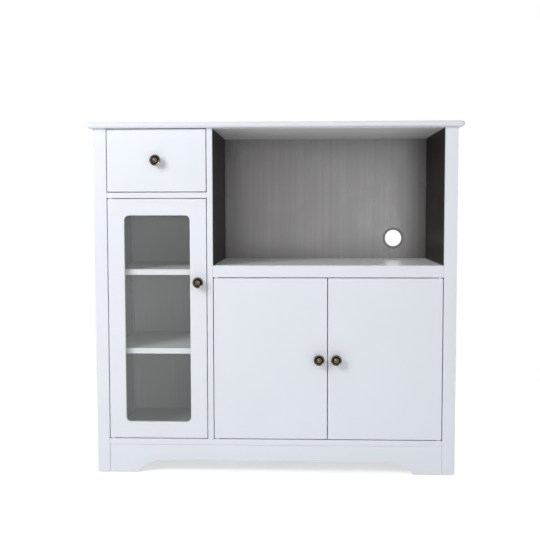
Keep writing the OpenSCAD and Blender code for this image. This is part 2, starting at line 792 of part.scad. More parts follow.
module bay_liner_back() {
    color(STEEL) difference() {
        block([part_r, inner_x], [inner_back_y - liner_t, inner_back_y], liner_wall_z);
        grommet_hole();
    }
}

// ---------- Shelves ----------

module shelf(x, top_z) {
    color(GREY) block([x[0] + shelf_gap, x[1] - shelf_gap],
                      [front_y + shelf_setback, inner_back_y - shelf_gap], [top_z - panel_t, top_z]);
}

module upper_shelf() { shelf([-inner_x, part_l], upper_shelf_z); }
module middle_shelf() { shelf([-inner_x, part_l], middle_shelf_z); }
module cupboard_shelf() { shelf([part_r, inner_x], cupboard_shelf_z); }

// Four pins under a shelf between the walls at x
module shelf_pin_set(x, top_z) {
    l = shelf_pin_in + shelf_pin_out;
    for (y = pin_rows) {
        rod_x([x[0] - shelf_pin_in, y, pin_z(top_z)], shelf_pin_d, l);
        rod_x([x[1] + shelf_pin_in - l, y, pin_z(top_z)], shelf_pin_d, l);
    }
}

module shelf_pins() {
    color(ZINC) {
        for (z = [upper_shelf_z, middle_shelf_z]) shelf_pin_set([-inner_x, part_l], z);
        shelf_pin_set([part_r, inner_x], cupboard_shelf_z);
    }
}

// ---------- Fittings of the case ----------

glide_nail_d = 2.5;
glide_nail_l = 16;

module foot_glides() {
    color(NYLON) for (x = [-1, 1] * (outer_x - leg_w / 2), y = [front_leg_mid_y, rear_leg_mid_y]) {
        rod_z([x, y, 0], glide_d, glide_t);
        rod_z([x, y, glide_t], glide_nail_d, glide_nail_l);
    }
}

// A cam lock that stands on its open face; its bolt enters from +X at the height bolt_rise
module cam() {
    difference() {
        cylinder(d = cam_d, h = cam_depth);
        rod_x([0, 0, bolt_rise], cam_bolt_head_d + 2 * fit, cam_d);
        for (a = [0, 90]) rotate(a) translate([-cam_slot[0] / 2, -cam_slot[1] / 2, -over])
            cube(cam_slot + [0, 0, over]);
    }
}

// The bolt of a cam lock: its head lies in the cam, and its thread in the other board
module cam_bolt() {
    shank_x = cam_bolt_start + cam_bolt_head_l;
    rod_x([cam_bolt_start, 0, 0], cam_bolt_head_d, cam_bolt_head_l);
    rod_x([shank_x, 0, 0], cam_bolt_d, cam_in - shank_x + cam_bolt_in - fit);
}

module cam_locks() {
    color(ZINC) {
        for (c = flat_cams, y = cam_rows)
            translate([c[0] - c[1] * cam_in, y, c[2]]) rotate(c[1] > 0 ? 0 : 180) cam();
        for (c = top_cams, y = cam_rows)
            translate([c[0], y, top_cam_z]) rotate([0, c[1] * 90, 0]) rotate(c[1] > 0 ? 180 : 0) cam();
    }
}

module cam_bolts() {
    color(ZINC) {
        for (c = flat_cams, y = cam_rows)
            translate([c[0] - c[1] * cam_in, y, c[2] + bolt_rise]) rotate(c[1] > 0 ? 0 : 180) cam_bolt();
        for (c = top_cams, y = cam_rows)
            translate([c[0] + c[1] * bolt_rise, y, top_cam_z]) rotate([0, -90, 0]) cam_bolt();
    }
}

module dowels() {
    color(BEECH) dowel_rods(all_dowels);
}

// Screws up through the bottom board into the partition, with sunk heads
module partition_screw_rods(radial = 0, end = 0) {
    for (y = cam_rows) {
        rod_z([part_mid, y, bottom_under + (end > 0 ? -over : screw_head_sunk)], screw_head_d + 2 * radial,
              screw_head_h + (end > 0 ? over : -screw_head_sunk));
        rod_z([part_mid, y, bottom_under + screw_head_h - fit], screw_d + 2 * radial, screw_l + end + fit);
    }
}

module partition_screws() {
    color(ZINC) partition_screw_rods();
}

module back_nails() {
    color(ZINC) for (n = concat(left_leg_nails, right_leg_nails, partition_left_nails, partition_right_nails,
                                bottom_nails, bay_shelf_nails)) {
        rod_y([n[0], back_y, n[1]], nail_head_d, nail_head_t);
        rod_y([n[0], back_y - nail_l, n[1]], nail_d, nail_l);
    }
}

// A pivot bush in a board whose face is at z, going towards s
module pivot_bush(x, z, s) {
    difference() {
        union() {
            rod_into_z(x, pivot_y, z, -s, bush_flange_d, bush_flange_t);
            rod_into_z(x, pivot_y, z, s, bush_d, bush_depth);
        }
        rod_into_z(x, pivot_y, z, s, pivot_d + 2 * run_fit, bush_depth + over, bush_flange_t + over);
    }
}

module pivot_bushes() {
    color(NYLON) {
        for (x = [display_pivot_x, left_pivot_x, right_pivot_x]) pivot_bush(x, floor_z, -1);
        for (x = [left_pivot_x, right_pivot_x]) pivot_bush(x, rail_under, 1);
        pivot_bush(display_pivot_x, drawer_board_under, 1);
    }
}

module magnetic_catches() {
    y = [catch_y, catch_y + catch_d];
    color(NYLON) {
        block([display_catch_x, display_catch_x + catch_w], y,
              [drawer_board_under - catch_h, drawer_board_under]);
        block([meeting_x - double_catch_w / 2, meeting_x + double_catch_w / 2], y,
              [floor_z, floor_z + catch_h]);
    }
}

// ---------- Drawer runners and rollers, drawn at a left wall at x = 0 ----------

runner_screw_y = [case_runner_y[0] + runner_screw_end, case_runner_y[1] - runner_screw_end];
runner_screw_z = (runner_floor + case_runner_top) / 2;

// Screws of the case runners, with their heads level with the steel, in the walls at x
module runner_screw_rods(walls, radial = 0, end = 0) {
    for (x = walls, y = runner_screw_y) {
        s = x < part_l ? -1 : 1;
        rod_into_x(x, s, y, runner_screw_z, small_screw_d + 2 * radial, small_screw_l + end, runner_t);
    }
}

module runner_screws() {
    color(ZINC) {
        runner_screw_rods([-inner_x, part_l]);
        at_both_walls() for (y = runner_screw_y) rod_x([0, y, runner_screw_z], small_head_d, runner_t);
    }
}

module case_runners() {
    stop_x = case_runner_w - roller_side_gap;
    axle_l = roller_wall_gap + roller_w + fit;
    color(ZINC) at_both_walls() difference() {
        union() {
            block([0, runner_t], case_runner_y, [runner_z, case_runner_top]);
            block([0, case_runner_w], case_runner_y, [runner_z, runner_floor]);
            block([0, stop_x], [case_runner_y[1] - runner_t, case_runner_y[1]], [runner_z, rear_axle_z]);
            block([0, stop_x], [runner_stop_y - runner_t, runner_stop_y],
                  [runner_z, runner_floor + runner_stop_h]);
            rod_x([0, front_axle_y, front_axle_z], axle_d, axle_l);
            rod_x([axle_l, front_axle_y, front_axle_z], axle_cap_d, axle_cap);
        }
        for (y = runner_screw_y)
            rod_x([-over, y, runner_screw_z], small_head_d + 2 * fit, runner_t + 2 * over);
    }
}

module drawer_runners() {
    upright_x = [runner_gap - runner_t, runner_gap];
    end_y = [rear_axle_y - roller_d / 2, drawer_runner_y[1]];
    axle_x = roller_wall_gap - fit;
    color(ZINC) at_both_walls() difference() {
        union() {
            block(drawer_runner_w, drawer_runner_y, [track_z, drawer_z]);
            block(upright_x, drawer_runner_y, [track_z, drawer_z + drawer_runner_h]);
            block(upright_x, end_y, [runner_floor + roller_headroom, track_z]);
            rod_x([axle_x, rear_axle_y, rear_axle_z], axle_d, upright_x[0] - axle_x);
            rod_x([axle_x - axle_cap, rear_axle_y, rear_axle_z], axle_cap_d, axle_cap);
        }
        for (y = drawer_runner_screw_y)
            rod_x([upright_x[0] - over, y, drawer_runner_screw_z], small_head_d + 2 * fit,
                  runner_t + 2 * over);
    }
}

module rollers(y, z) {
    color(NYLON) at_both_walls() difference() {
        rod_x([roller_wall_gap, y, z], roller_d, roller_w);
        rod_x([roller_wall_gap - over, y, z], axle_d + 2 * run_fit, roller_w + 2 * over);
    }
}

module front_rollers() { rollers(front_axle_y, front_axle_z); }
module rear_rollers() { rollers(rear_axle_y, rear_axle_z); }

// ---------- Drawer ----------

drawer_runner_screw_y = [drawer_runner_y[0] + runner_screw_end, drawer_runner_y[1] - runner_screw_end];
runner_screw_rise = 1;  // from the drawer side's lower edge to the screw heads
drawer_runner_screw_z = drawer_z + runner_screw_rise + small_head_d / 2;

module bottom_groove() {
    block([drawer_inner_x[0] - groove_d, drawer_inner_x[1] + groove_d],
          [drawer_y[0] - groove_d, drawer_y[1] + over],
          [drawer_bottom_z - groove_gap / 2, drawer_bottom_z + drawer_bottom_t + groove_gap / 2]);
}

module knob_screw_hole(x, z) {
    rod_y([x, front_y - over, z], knob_screw_d + 2 * run_fit, door_t + 2 * over);
}

module drawer_front() {
    color(WHITE) difference() {
        eased_block(column_door_x, [front_y, door_back_y], drawer_front_z);
        bottom_groove();
        knob_screw_hole(column_knob_x, drawer_knob_z);
        for (x = [drawer_x[0] + drawer_side_mid, drawer_x[1] - drawer_side_mid])
            rod_y([x, door_back_y - cam_bolt_in, drawer_cam_z], cam_bolt_d + 2 * run_fit, cam_bolt_in + over);
    }
}

// Screws through the drawer's sides into its back, drawn from the left side at x = drawer_x[0]
module side_screw_rods(radial = 0, end = 0) {
    for (z = drawer_screw_z)
        rod_x([drawer_x[0], drawer_y[1] - drawer_board_t / 2, z], drawer_screw_d + 2 * radial,
              drawer_screw_l + end);
}

// Screws through a drawer runner into the drawer's side, under its groove
module rail_screw_rods(radial = 0, end = 0) {
    for (y = drawer_runner_screw_y)
        rod_x([drawer_x[0] - runner_t, y, drawer_runner_screw_z], small_screw_d + 2 * radial,
              small_screw_l + end);
}

// Mirrors its children from the drawer's left side to its right side
module on_the_right() {
    translate([2 * column_knob_x, 0, 0]) mirror([1, 0, 0]) children();
}

module left_side_shape() {
    difference() {
        block([drawer_x[0], drawer_inner_x[0]], drawer_y, [drawer_z, drawer_z + drawer_side_h]);
        bottom_groove();
        rod_into_x(drawer_inner_x[0], -1, drawer_y[0] + cam_in, drawer_cam_z, cam_d + 2 * fit,
                   drawer_cam_depth, over);
        rod_y([drawer_x[0] + drawer_side_mid, drawer_y[0] - over, drawer_cam_z], cam_bolt_head_d + 2 * fit,
              cam_in + over);
        translate([-over, 0, 0]) side_screw_rods(run_fit, hole_end + over);
        rail_screw_rods(run_fit, hole_end);
    }
}

module drawer_left_side() {
    color(GREY) left_side_shape();
}

module drawer_right_side() {
    color(GREY) on_the_right() left_side_shape();
}

module drawer_back() {
    color(GREY) difference() {
        block(drawer_inner_x, [drawer_back_y, drawer_y[1]],
              [drawer_bottom_z + drawer_bottom_t + groove_gap / 2, drawer_z + drawer_side_h]);
        side_screw_rods(run_fit, hole_end);
        on_the_right() side_screw_rods(run_fit, hole_end);
    }
}

module drawer_bottom() {
    tongue = groove_d - groove_gap;
    color(GREY) block([drawer_inner_x[0] - tongue, drawer_inner_x[1] + tongue],
                      [drawer_y[0] - tongue, drawer_y[1] - groove_gap],
                      [drawer_bottom_z, drawer_bottom_z + drawer_bottom_t]);
}

module left_drawer_screws() {
    side_screw_rods();
    for (z = drawer_screw_z)
        rod_x([drawer_x[0] - small_head_h, drawer_y[1] - drawer_board_t / 2, z], drawer_screw_head_d,
              small_head_h);
    rail_screw_rods();
    for (y = drawer_runner_screw_y)
        rod_x([drawer_x[0] - runner_t, y, drawer_runner_screw_z], small_head_d, runner_t);
}

module drawer_screws() {
    color(ZINC) {
        left_drawer_screws();
        on_the_right() left_drawer_screws();
    }
}

// The cam in the drawer's left side, and the bolt that it pulls out of the front
module left_drawer_cam() {
    mid = drawer_x[0] + drawer_side_mid;
    head_y = drawer_y[0] + cam_in - cam_bolt_start - cam_bolt_head_l;
    difference() {
        rod_into_x(drawer_inner_x[0], -1, drawer_y[0] + cam_in, drawer_cam_z, cam_d, drawer_cam_depth);
        rod_y([mid, drawer_y[0], drawer_cam_z], cam_bolt_head_d + 2 * fit, cam_in);
    }
    rod_y([mid, head_y, drawer_cam_z], cam_bolt_head_d, cam_bolt_head_l);
    rod_y([mid, door_back_y - cam_bolt_in + fit, drawer_cam_z], cam_bolt_d,
          head_y - door_back_y + cam_bolt_in - fit);
}

module drawer_cams() {
    color(ZINC) {
        left_drawer_cam();
        on_the_right() left_drawer_cam();
    }
}

// ---------- Knobs ----------

// Half section of a knob, from its foot at y = 0 to the top of its button
module knob_section() {
    r = knob_d / 2;
    top = knob_reach;
    polygon([
        [0, 0], [r * 0.58, 0], [r * 0.58, top * 0.05], [r * 0.50, top * 0.09], [r * 0.36, top * 0.14],
        [r * 0.30, top * 0.28], [r * 0.32, top * 0.44], [r * 0.52, top * 0.56], [r * 0.86, top * 0.64],
        [r * 0.97, top * 0.70], [r, top * 0.76], [r * 0.97, top * 0.82], [r * 0.90, top * 0.86],
        [r * 0.78, top * 0.87], [r * 0.64, top * 0.82], [r * 0.50, top * 0.80], [r * 0.42, top * 0.82],
        [r * 0.40, top * 0.90], [r * 0.34, top * 0.96], [r * 0.20, top * 0.99], [0, top]
    ]);
}

// A knob and the screw that holds it through a door
module knob(x, z) {
    color(BRONZE) translate([x, front_y, z]) rotate([90, 0, 0]) difference() {
        rotate_extrude() knob_section();
        translate([0, 0, -over]) cylinder(d = knob_screw_d + 2 * run_fit, h = knob_thread + over);
    }
    color(ZINC) {
        rod_y([x, front_y - knob_thread + hole_end, z], knob_screw_d, knob_thread - hole_end + door_t);
        rod_y([x, door_back_y, z], knob_screw_head_d, knob_screw_head_h);
    }
}

module drawer_knob() { knob(column_knob_x, drawer_knob_z); }
module display_door_knob() { knob(display_knob_x, display_knob_z); }
module left_door_knob() { knob(left_knob_x, lower_knob_z); }
module right_door_knob() { knob(right_knob_x, lower_knob_z); }

// ---------- Doors ----------

// Bores for the pivot pins in the lower and upper edges of a door
module pivot_holes(x, z) {
    rod_into_z(x, pivot_y, z[0], 1, pivot_d + 2 * run_fit, pivot_in_door, over);
    rod_into_z(x, pivot_y, z[1], -1, pivot_d + 2 * run_fit, pivot_in_door, over);
}

// Pivot pins with their collars at both ends of a door, and its strike plate
module door_hardware(x, z, strike_x, strike_z) {
    reach = reveal + bush_depth - hole_end;
    color(ZINC) {
        for (end = [[z[0], 1], [z[1], -1]]) {
            rod_into_z(x, pivot_y, end[0], end[1], pivot_d, pivot_in_door - hole_end, reach);
            rod_into_z(x, pivot_y, end[0], -end[1], collar_d, collar_t);
        }
        block([strike_x - strike_w / 2, strike_x + strike_w / 2], [door_back_y, door_back_y + strike_t],
              [strike_z - strike_h / 2, strike_z + strike_h / 2]);
    }
}

module door_panel(x, pivot_x, knob_x) {
    color(WHITE) difference() {
        eased_block(x, [front_y, door_back_y], lower_door_z);
        pivot_holes(pivot_x, lower_door_z);
        knob_screw_hole(knob_x, lower_knob_z);
    }
}

lower_strike_z = lower_door_z[0] + strike_edge + strike_h / 2;
lower_strike_in = strike_edge + strike_w / 2;

module left_door_panel() { door_panel(left_door_x, left_pivot_x, left_knob_x); }
module right_door_panel() { door_panel(right_door_x, right_pivot_x, right_knob_x); }

module left_door_hardware() {
    door_hardware(left_pivot_x, lower_door_z, left_door_x[1] - lower_strike_in, lower_strike_z);
}

module right_door_hardware() {
    door_hardware(right_pivot_x, lower_door_z, right_door_x[0] + lower_strike_in, lower_strike_z);
}

module display_door_hardware() {
    door_hardware(display_pivot_x, display_door_z, display_catch_x + catch_w / 2,
                  display_door_z[1] - strike_edge - strike_h / 2);
}

// ---------- Display door ----------

// Clips: [point on the window's edge, way from the frame to the glass]
clip_places = concat(
    [for (s = [-1, 1], k = [-1, 0, 1])
        [[window_mid[0] - s * window_half[0], window_mid[1] + k * (window_half[1] - clip_end)], [s, 0]]],
    [for (s = [-1, 1]) [[window_mid[0], window_mid[1] - s * window_half[1]], [0, s]]]
);

module at_clips() {
    for (c = clip_places) {
        turn = c[1][0] > 0 ? 0 : c[1][0] < 0 ? 180 : c[1][1] > 0 ? -90 : 90;
        translate([c[0][0], 0, c[0][1]]) rotate([0, turn, 0]) children();
    }
}

clip_screw_x = -rebate_w - clip_on_frame / 2;

module display_door_frame() {
    color(WHITE) difference() {
        eased_block(column_door_x, [front_y, door_back_y], display_door_z);
        rounded_window(window_x, [front_y - over, door_back_y + over], window_z, window_r);
        rounded_window([window_x[0] - rebate_w, window_x[1] + rebate_w], [glass_y, door_back_y + over],
                       [window_z[0] - rebate_w, window_z[1] + rebate_w], window_r);
        pivot_holes(display_pivot_x, display_door_z);
        knob_screw_hole(display_knob_x, display_knob_z);
        at_clips() rod_y([clip_screw_x, door_back_y + clip_t - small_screw_l - hole_end, 0],
                         small_screw_d + 2 * run_fit, small_screw_l + hole_end);
    }
}

module door_glass() {
    reach = rebate_w - glass_gap;
    color(GLASS) rounded_window([window_x[0] - reach, window_x[1] + reach], [glass_y, glass_y + glass_t],
                                [window_z[0] - reach, window_z[1] + reach], window_r);
}

// A clip's plate lies on the frame, and its foot presses on the glass
module glass_clips() {
    foot_x = [-rebate_w + glass_gap, -rebate_w + glass_gap + clip_on_glass];
    color(NYLON) at_clips() difference() {
        union() {
            block([-rebate_w - clip_on_frame, foot_x[1]], [door_back_y, door_back_y + clip_t],
                  [-clip_w / 2, clip_w / 2]);
            block(foot_x, [glass_y + glass_t, door_back_y], [-clip_w / 2, clip_w / 2]);
        }
        rod_y([clip_screw_x, door_back_y - over, 0], small_screw_d + 2 * run_fit, clip_t + 2 * over);
    }
}

module clip_screws() {
    y = door_back_y + clip_t;
    color(ZINC) at_clips() {
        rod_y([clip_screw_x, y - small_screw_l, 0], small_screw_d, small_screw_l);
        rod_y([clip_screw_x, y, 0], small_head_d, small_head_h);
    }
}

top_board();
left_front_leg();
right_front_leg();
left_rear_leg();
right_rear_leg();
left_side_panel();
right_side_panel();
partition();
bottom_panel();
front_apron();
rear_rail();
drawer_shelf();
bay_shelf();
bay_front_rail();
back_panel_left();
back_panel_lower();
back_panel_bay();
cable_grommet();
bay_liner_sides();
bay_liner_top();
bay_liner_floor();
bay_liner_back();
upper_shelf();
middle_shelf();
cupboard_shelf();
shelf_pins();
foot_glides();
cam_locks();
cam_bolts();
dowels();
partition_screws();
back_nails();
pivot_bushes();
magnetic_catches();
case_runners();
runner_screws();
front_rollers();
rear_rollers();
drawer_front();
drawer_left_side();
drawer_right_side();
drawer_back();
drawer_bottom();
drawer_runners();
drawer_screws();
drawer_cams();
drawer_knob();
display_door_frame();
door_glass();
glass_clips();
clip_screws();
display_door_hardware();
display_door_knob();
left_door_panel();
left_door_hardware();
left_door_knob();
right_door_panel();
right_door_hardware();
right_door_knob();
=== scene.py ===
"""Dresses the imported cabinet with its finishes, its fine pieces, soft light and the camera."""

import functools
import logging
import math
from dataclasses import dataclass
from enum import Enum
from typing import Callable, Iterable, Sequence

import bmesh
import bpy
from mathutils import Matrix, Vector


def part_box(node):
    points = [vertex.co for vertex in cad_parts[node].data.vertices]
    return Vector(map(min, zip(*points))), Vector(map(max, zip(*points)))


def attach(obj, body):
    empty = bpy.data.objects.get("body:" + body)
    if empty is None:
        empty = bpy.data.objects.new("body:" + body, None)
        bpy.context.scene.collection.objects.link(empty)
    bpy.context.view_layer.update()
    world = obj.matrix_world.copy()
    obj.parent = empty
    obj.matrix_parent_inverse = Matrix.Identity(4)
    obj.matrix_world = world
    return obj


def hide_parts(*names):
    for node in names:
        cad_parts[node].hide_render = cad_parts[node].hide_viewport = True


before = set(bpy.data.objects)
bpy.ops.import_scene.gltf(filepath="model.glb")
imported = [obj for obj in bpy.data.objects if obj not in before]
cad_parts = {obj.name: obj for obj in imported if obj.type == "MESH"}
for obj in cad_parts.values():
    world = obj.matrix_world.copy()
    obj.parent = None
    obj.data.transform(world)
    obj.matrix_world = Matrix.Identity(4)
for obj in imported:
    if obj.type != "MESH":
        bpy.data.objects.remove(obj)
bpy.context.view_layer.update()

LOG = logging.getLogger("cabinet")
MM = 0.001
WELD = 0.001 * MM
CREASE = math.radians(40)
EVEN = (1.0, 1.0, 1.0)

Colour = tuple[float, float, float]
Point = tuple[float, float, float]
Flat = tuple[float, float]
Place = tuple[Point, Point]
Piece = bpy.types.Object
Solid = bmesh.types.BMesh


# ---------- Node trees ----------


def operator(operation: str, swapped: bool = False) -> Callable[["Value", "Value | float"], "Value"]:
    """Returns: an operator of Value, which adds one Math node. A reflected operator is swapped."""

    def apply(self: "Value", other: "Value | float") -> "Value":
        """Returns: the Math node's result."""
        first, second = (other, self) if swapped else (self, other)
        return self.nodes.value("ShaderNodeMath", {0: first, 1: second}, operation=operation)

    return apply


class Value:
    """An output socket with arithmetic: each operator adds its Math node to the socket's own tree."""

    __add__, __radd__ = operator("ADD"), operator("ADD", True)
    __sub__, __rsub__ = operator("SUBTRACT"), operator("SUBTRACT", True)
    __mul__, __rmul__ = operator("MULTIPLY"), operator("MULTIPLY", True)

    def __init__(self, nodes: "Nodes", socket: bpy.types.NodeSocket) -> None:
        """Args: nodes: the tree's wrapper. socket: the output socket."""
        self.nodes = nodes
        self.socket = socket


Number = Value | float
Sockets = dict[int | str, object]


class Nodes:
    """A node tree, of a material, a world or Geometry Nodes, whose nodes all come from one method."""

    def __init__(self, tree: bpy.types.NodeTree) -> None:
        """Args: tree: the tree, which is emptied."""
        self.tree = tree
        tree.nodes.clear()

    def node(self, kind: str, sockets: Sockets | None = None, **settings: object) -> bpy.types.Node:
        """Adds a node.

        Args:
            kind: the node's type.
            sockets: values or links of its input sockets, by name or number.
            settings: its settings, which are set first.

        Returns:
            The node.
        """
        node = self.tree.nodes.new(kind)
        for key, setting in settings.items():
            setattr(node, key, setting)
        for key, given in (sockets or {}).items():
            socket = node.inputs[key]
            if isinstance(given, Value):
                self.tree.links.new(given.socket, socket)
            elif socket.type == "RGBA":
                socket.default_value = (*given, 1.0)
            else:
                socket.default_value = given
        return node

    def value(self, kind: str, sockets: Sockets | None = None, output: int | str = 0,
              **settings: object) -> Value:
        """Adds a node. Returns: one of its outputs."""
        return Value(self, self.node(kind, sockets, **settings).outputs[output])


class Shader(Nodes):
    """The node tree of a new material, with the patterns that the finishes share."""

    def __init__(self, name: str) -> None:
        """Args: name: the material's name."""
        self.material = bpy.data.materials.new(name)
        self.material.use_nodes = True
        super().__init__(self.material.node_tree)

    def place(self, stretch: Point = EVEN) -> Value:
        """Object coordinates, in metres, scaled by stretch."""
        at = self.value("ShaderNodeTexCoord", output="Object")
        return self.value("ShaderNodeMapping", {"Vector": at, "Scale": stretch})

    def noise(self, scale: float, detail: float, stretch: Point = EVEN, warp: float = 0.0) -> Value:
        """Noise from 0 to 1, whose grain is about 1 / scale metres."""
        sockets = {"Vector": self.place(stretch), "Scale": scale, "Detail": detail, "Distortion": warp}
        return self.value("ShaderNodeTexNoise", sockets)

    def remap(self, value: Value, low: float, high: float) -> Value:
        """Maps low..high smoothly to 0..1, and no further."""
        sockets = {"Value": value, "From Min": low, "From Max": high}
        return self.value("ShaderNodeMapRange", sockets, interpolation_type="SMOOTHSTEP")

    def blend(self, factor: Value, first: Value | Colour, second: Value | Colour) -> Value:
        """A colour from first, at factor 0, to second, at factor 1."""
        return self.value("ShaderNodeMix", {0: factor, 6: first, 7: second}, 2, data_type="RGBA")

    def bump(self, height: Value, distance: float, strength: float) -> Value:
        """A normal bent by a height of 0 to 1, which stands for distance metres."""
        return self.value("ShaderNodeBump", {"Height": height, "Distance": distance, "Strength": strength})


# ---------- Finishes ----------


class Grain(Enum):
    """The way that a brushed or sawn pattern runs, as the stretch of its coordinates."""

    ALONG_X = (0.012, 1.0, 1.0)
    ALONG_Y = (1.0, 0.012, 1.0)
    ALONG_Z = (1.0, 1.0, 0.012)


def scaled(colour: Colour, by: float) -> Colour:
    """Returns: a lighter or darker shade of a colour."""
    return tuple(by * c for c in colour)


@dataclass(frozen=True)
class Finish:
    """A finish of the cabinet, and the CAD slot that it stands for. Each one lays its own nodes, once."""

    name: str
    slot: str

    def lay(self, shader: Shader) -> Sockets:
        """Builds the finish's patterns. Returns: the sockets of its Principled shader."""
        raise NotImplementedError

    @functools.cache
    def material(self) -> bpy.types.Material:
        """Returns: the finish's material, made when it is first asked for."""
        shader = Shader(self.name)
        surface = shader.value("ShaderNodeBsdfPrincipled", self.lay(shader))
        shader.node("ShaderNodeOutputMaterial", {"Surface": surface})
        return shader.material


@dataclass(frozen=True)
class SatinLacquer(Finish):
    """Satin lacquer sprayed on fibreboard: even, with the fine orange peel of a spray gun."""

    tint: Colour = (0.82, 0.845, 0.90)
    roughness: float = 0.42

    def lay(self, shader: Shader) -> Sockets:
        """Returns: the lacquer's sockets."""
        cloud = shader.noise(3.0, 3.0)
        peel = shader.noise(420.0, 1.5)
        return {
            "Base Color": shader.blend(shader.remap(cloud, 0.35, 0.65), scaled(self.tint, 0.975), self.tint),
            "Roughness": self.roughness + 0.10 * (shader.noise(55.0, 3.0) - 0.5),
            "Specular IOR Level": 0.4,
            "Normal": shader.bump(peel, 0.012 * MM, 0.35),
        }


@dataclass(frozen=True)
class Melamine(Finish):
    """Matt melamine-faced board, with a faint printed grain and fine embossed pores. Its light grey is partly
    the board's own tone and partly painted shade for the insides of the case.
    """

    grain: Grain
    # Light grey: partly the board's own tone, partly painted shade of the case's insides.
    tint: Colour = (0.72, 0.738, 0.722)

    def lay(self, shader: Shader) -> Sockets:
        """Returns: the melamine's sockets."""
        streaks = shader.noise(260.0, 4.0, self.grain.value)
        cloud = shader.noise(5.0, 2.0)
        pores = shader.remap(shader.noise(900.0, 2.0, self.grain.value), 0.42, 0.62)
        mix = 0.65 * streaks + 0.35 * cloud
        return {
            "Base Color": shader.blend(mix, scaled(self.tint, 0.84), scaled(self.tint, 1.1)),
            "Roughness": 0.50 + 0.14 * (streaks - 0.5),
            "Specular IOR Level": 0.35,
            "Normal": shader.bump(pores, 0.03 * MM, 0.35),
        }


@dataclass(frozen=True)
class Fibreboard(Finish):
    """Raw fibreboard or hardboard: brown, with short pressed fibres."""

    light: Colour = (0.36, 0.235, 0.135)
    dark: Colour = (0.19, 0.115, 0.062)
    roughness: float = 0.62

    def lay(self, shader: Shader) -> Sockets:
        """Returns: the board's sockets."""
        fibres = shader.noise(700.0, 6.0, (1.0, 1.0, 0.35), 0.6)
        flecks = shader.remap(shader.noise(240.0, 4.0, (0.4, 1.0, 1.0), 1.2), 0.60, 0.72)
        cloud = shader.noise(6.0, 3.0)
        body = shader.blend(shader.remap(0.7 * fibres + 0.3 * cloud, 0.3, 0.7), self.dark, self.light)
        return {
            "Base Color": shader.blend(0.6 * flecks, body, scaled(self.light, 1.35)),
            "Roughness": self.roughness + 0.2 * (fibres - 0.5),
            "Specular IOR Level": 0.3,
            "Normal": shader.bump(fibres, 0.05 * MM, 0.5),
        }


@dataclass(frozen=True)
class BrushedSteel(Finish):
    """Stainless sheet with a long brushed grain and faint wiping marks. Edge tints its grazing shine."""

    tint: Colour
    grain: Grain = Grain.ALONG_X
    roughness: float = 0.34
    metallic: float = 1.0
    edge: float = 1.0

    def lay(self, shader: Shader) -> Sockets:
        """Returns: the steel's sockets."""
        lines = shader.noise(1100.0, 5.0, self.grain.value)
        bands = shader.noise(90.0, 3.0, self.grain.value)
        wiped = shader.noise(7.0, 3.0, warp=1.5)
        mix = 0.5 * lines + 0.5 * bands
        return {
            "Base Color": shader.blend(mix, scaled(self.tint, 0.72), scaled(self.tint, 1.25)),
            "Metallic": self.metallic,
            "Specular Tint": (self.edge,) * 3,
            "Roughness": self.roughness + 0.16 * (lines - 0.5) + 0.12 * (wiped - 0.5),
            "Normal": shader.bump(lines, 0.012 * MM, 0.6),
        }


@dataclass(frozen=True)
class ZincPlate(Finish):
    """Bright zinc plating, a little blue and yellow, dulled in patches."""

    blue: Colour = (0.60, 0.61, 0.63)
    yellow: Colour = (0.56, 0.545, 0.48)
    grey: Colour = (0.42, 0.43, 0.45)

    def lay(self, shader: Shader) -> Sockets:
        """Returns: the plating's sockets."""
        bright = shader.blend(shader.noise(120.0, 4.0, warp=1.0), self.blue, self.yellow)
        dull = shader.noise(420.0, 3.0)
        return {
            "Base Color": shader.blend(shader.remap(dull, 0.45, 0.75), bright, self.grey),
            "Metallic": 1.0,
            "Roughness": 0.30 + 0.22 * dull,
            "Normal": shader.bump(dull, 0.01 * MM, 0.4),
        }


@dataclass(frozen=True)
class AgedBronze(Finish):
    """Antique bronze: a dark patina, rubbed bright where the piece's attribute "rub" is high."""

    patina: Colour = (0.014, 0.010, 0.007)
    mottled: Colour = (0.028, 0.022, 0.016)
    rubbed: Colour = (0.40, 0.35, 0.265)

    def lay(self, shader: Shader) -> Sockets:
        """Returns: the bronze's sockets."""
        rub = shader.value("ShaderNodeAttribute", output="Fac", attribute_name="rub")
        mottle = shader.noise(900.0, 4.0, warp=0.8)
        worn = shader.remap(rub + 0.3 * (mottle - 0.5), 0.05, 1.0)
        return {
            "Base Color": shader.blend(worn, shader.blend(mottle, self.patina, self.mottled), self.rubbed),
            "Metallic": 0.97 + 0.03 * worn,
            "Roughness": 0.155 - 0.04 * worn + 0.06 * (mottle - 0.5),
            "Normal": shader.bump(mottle, 0.02 * MM, 0.35),
        }


@dataclass(frozen=True)
class Plastic(Finish):
    """Moulded plastic with a fine spark-eroded grain."""

    tint: Colour
    roughness: float = 0.42
    depth: float = 0.02 * MM

    def lay(self, shader: Shader) -> Sockets:
        """Returns: the plastic's sockets."""
        texture = shader.noise(1800.0, 2.0)
        flow = shader.noise(35.0, 2.0, warp=1.0)
        return {
            "Base Color": shader.blend(flow, scaled(self.tint, 0.93), self.tint),
            "Roughness": self.roughness + 0.12 * (texture - 0.5),
            "Specular IOR Level": 0.4,
            "Normal": shader.bump(texture, self.depth, 0.5),
        }


@dataclass(frozen=True)
class Beech(Finish):
    """Plain turned beech, with its short dark flecks along the grain."""

    tint: Colour = (0.56, 0.37, 0.21)
    fleck: Colour = (0.30, 0.17, 0.08)

    def lay(self, shader: Shader) -> Sockets:
        """Returns: the beech's sockets."""
        grain = shader.noise(500.0, 4.0, (0.2, 0.6, 0.2))
        flecks = shader.remap(shader.noise(1300.0, 2.0, (0.15, 0.5, 0.15)), 0.60, 0.70)
        wood = shader.blend(grain, scaled(self.tint, 0.8), self.tint)
        return {
            "Base Color": shader.blend(0.5 * flecks, wood, self.fleck),
            "Roughness": 0.55 + 0.15 * (grain - 0.5),
            "Normal": shader.bump(grain, 0.04 * MM, 0.5),
        }


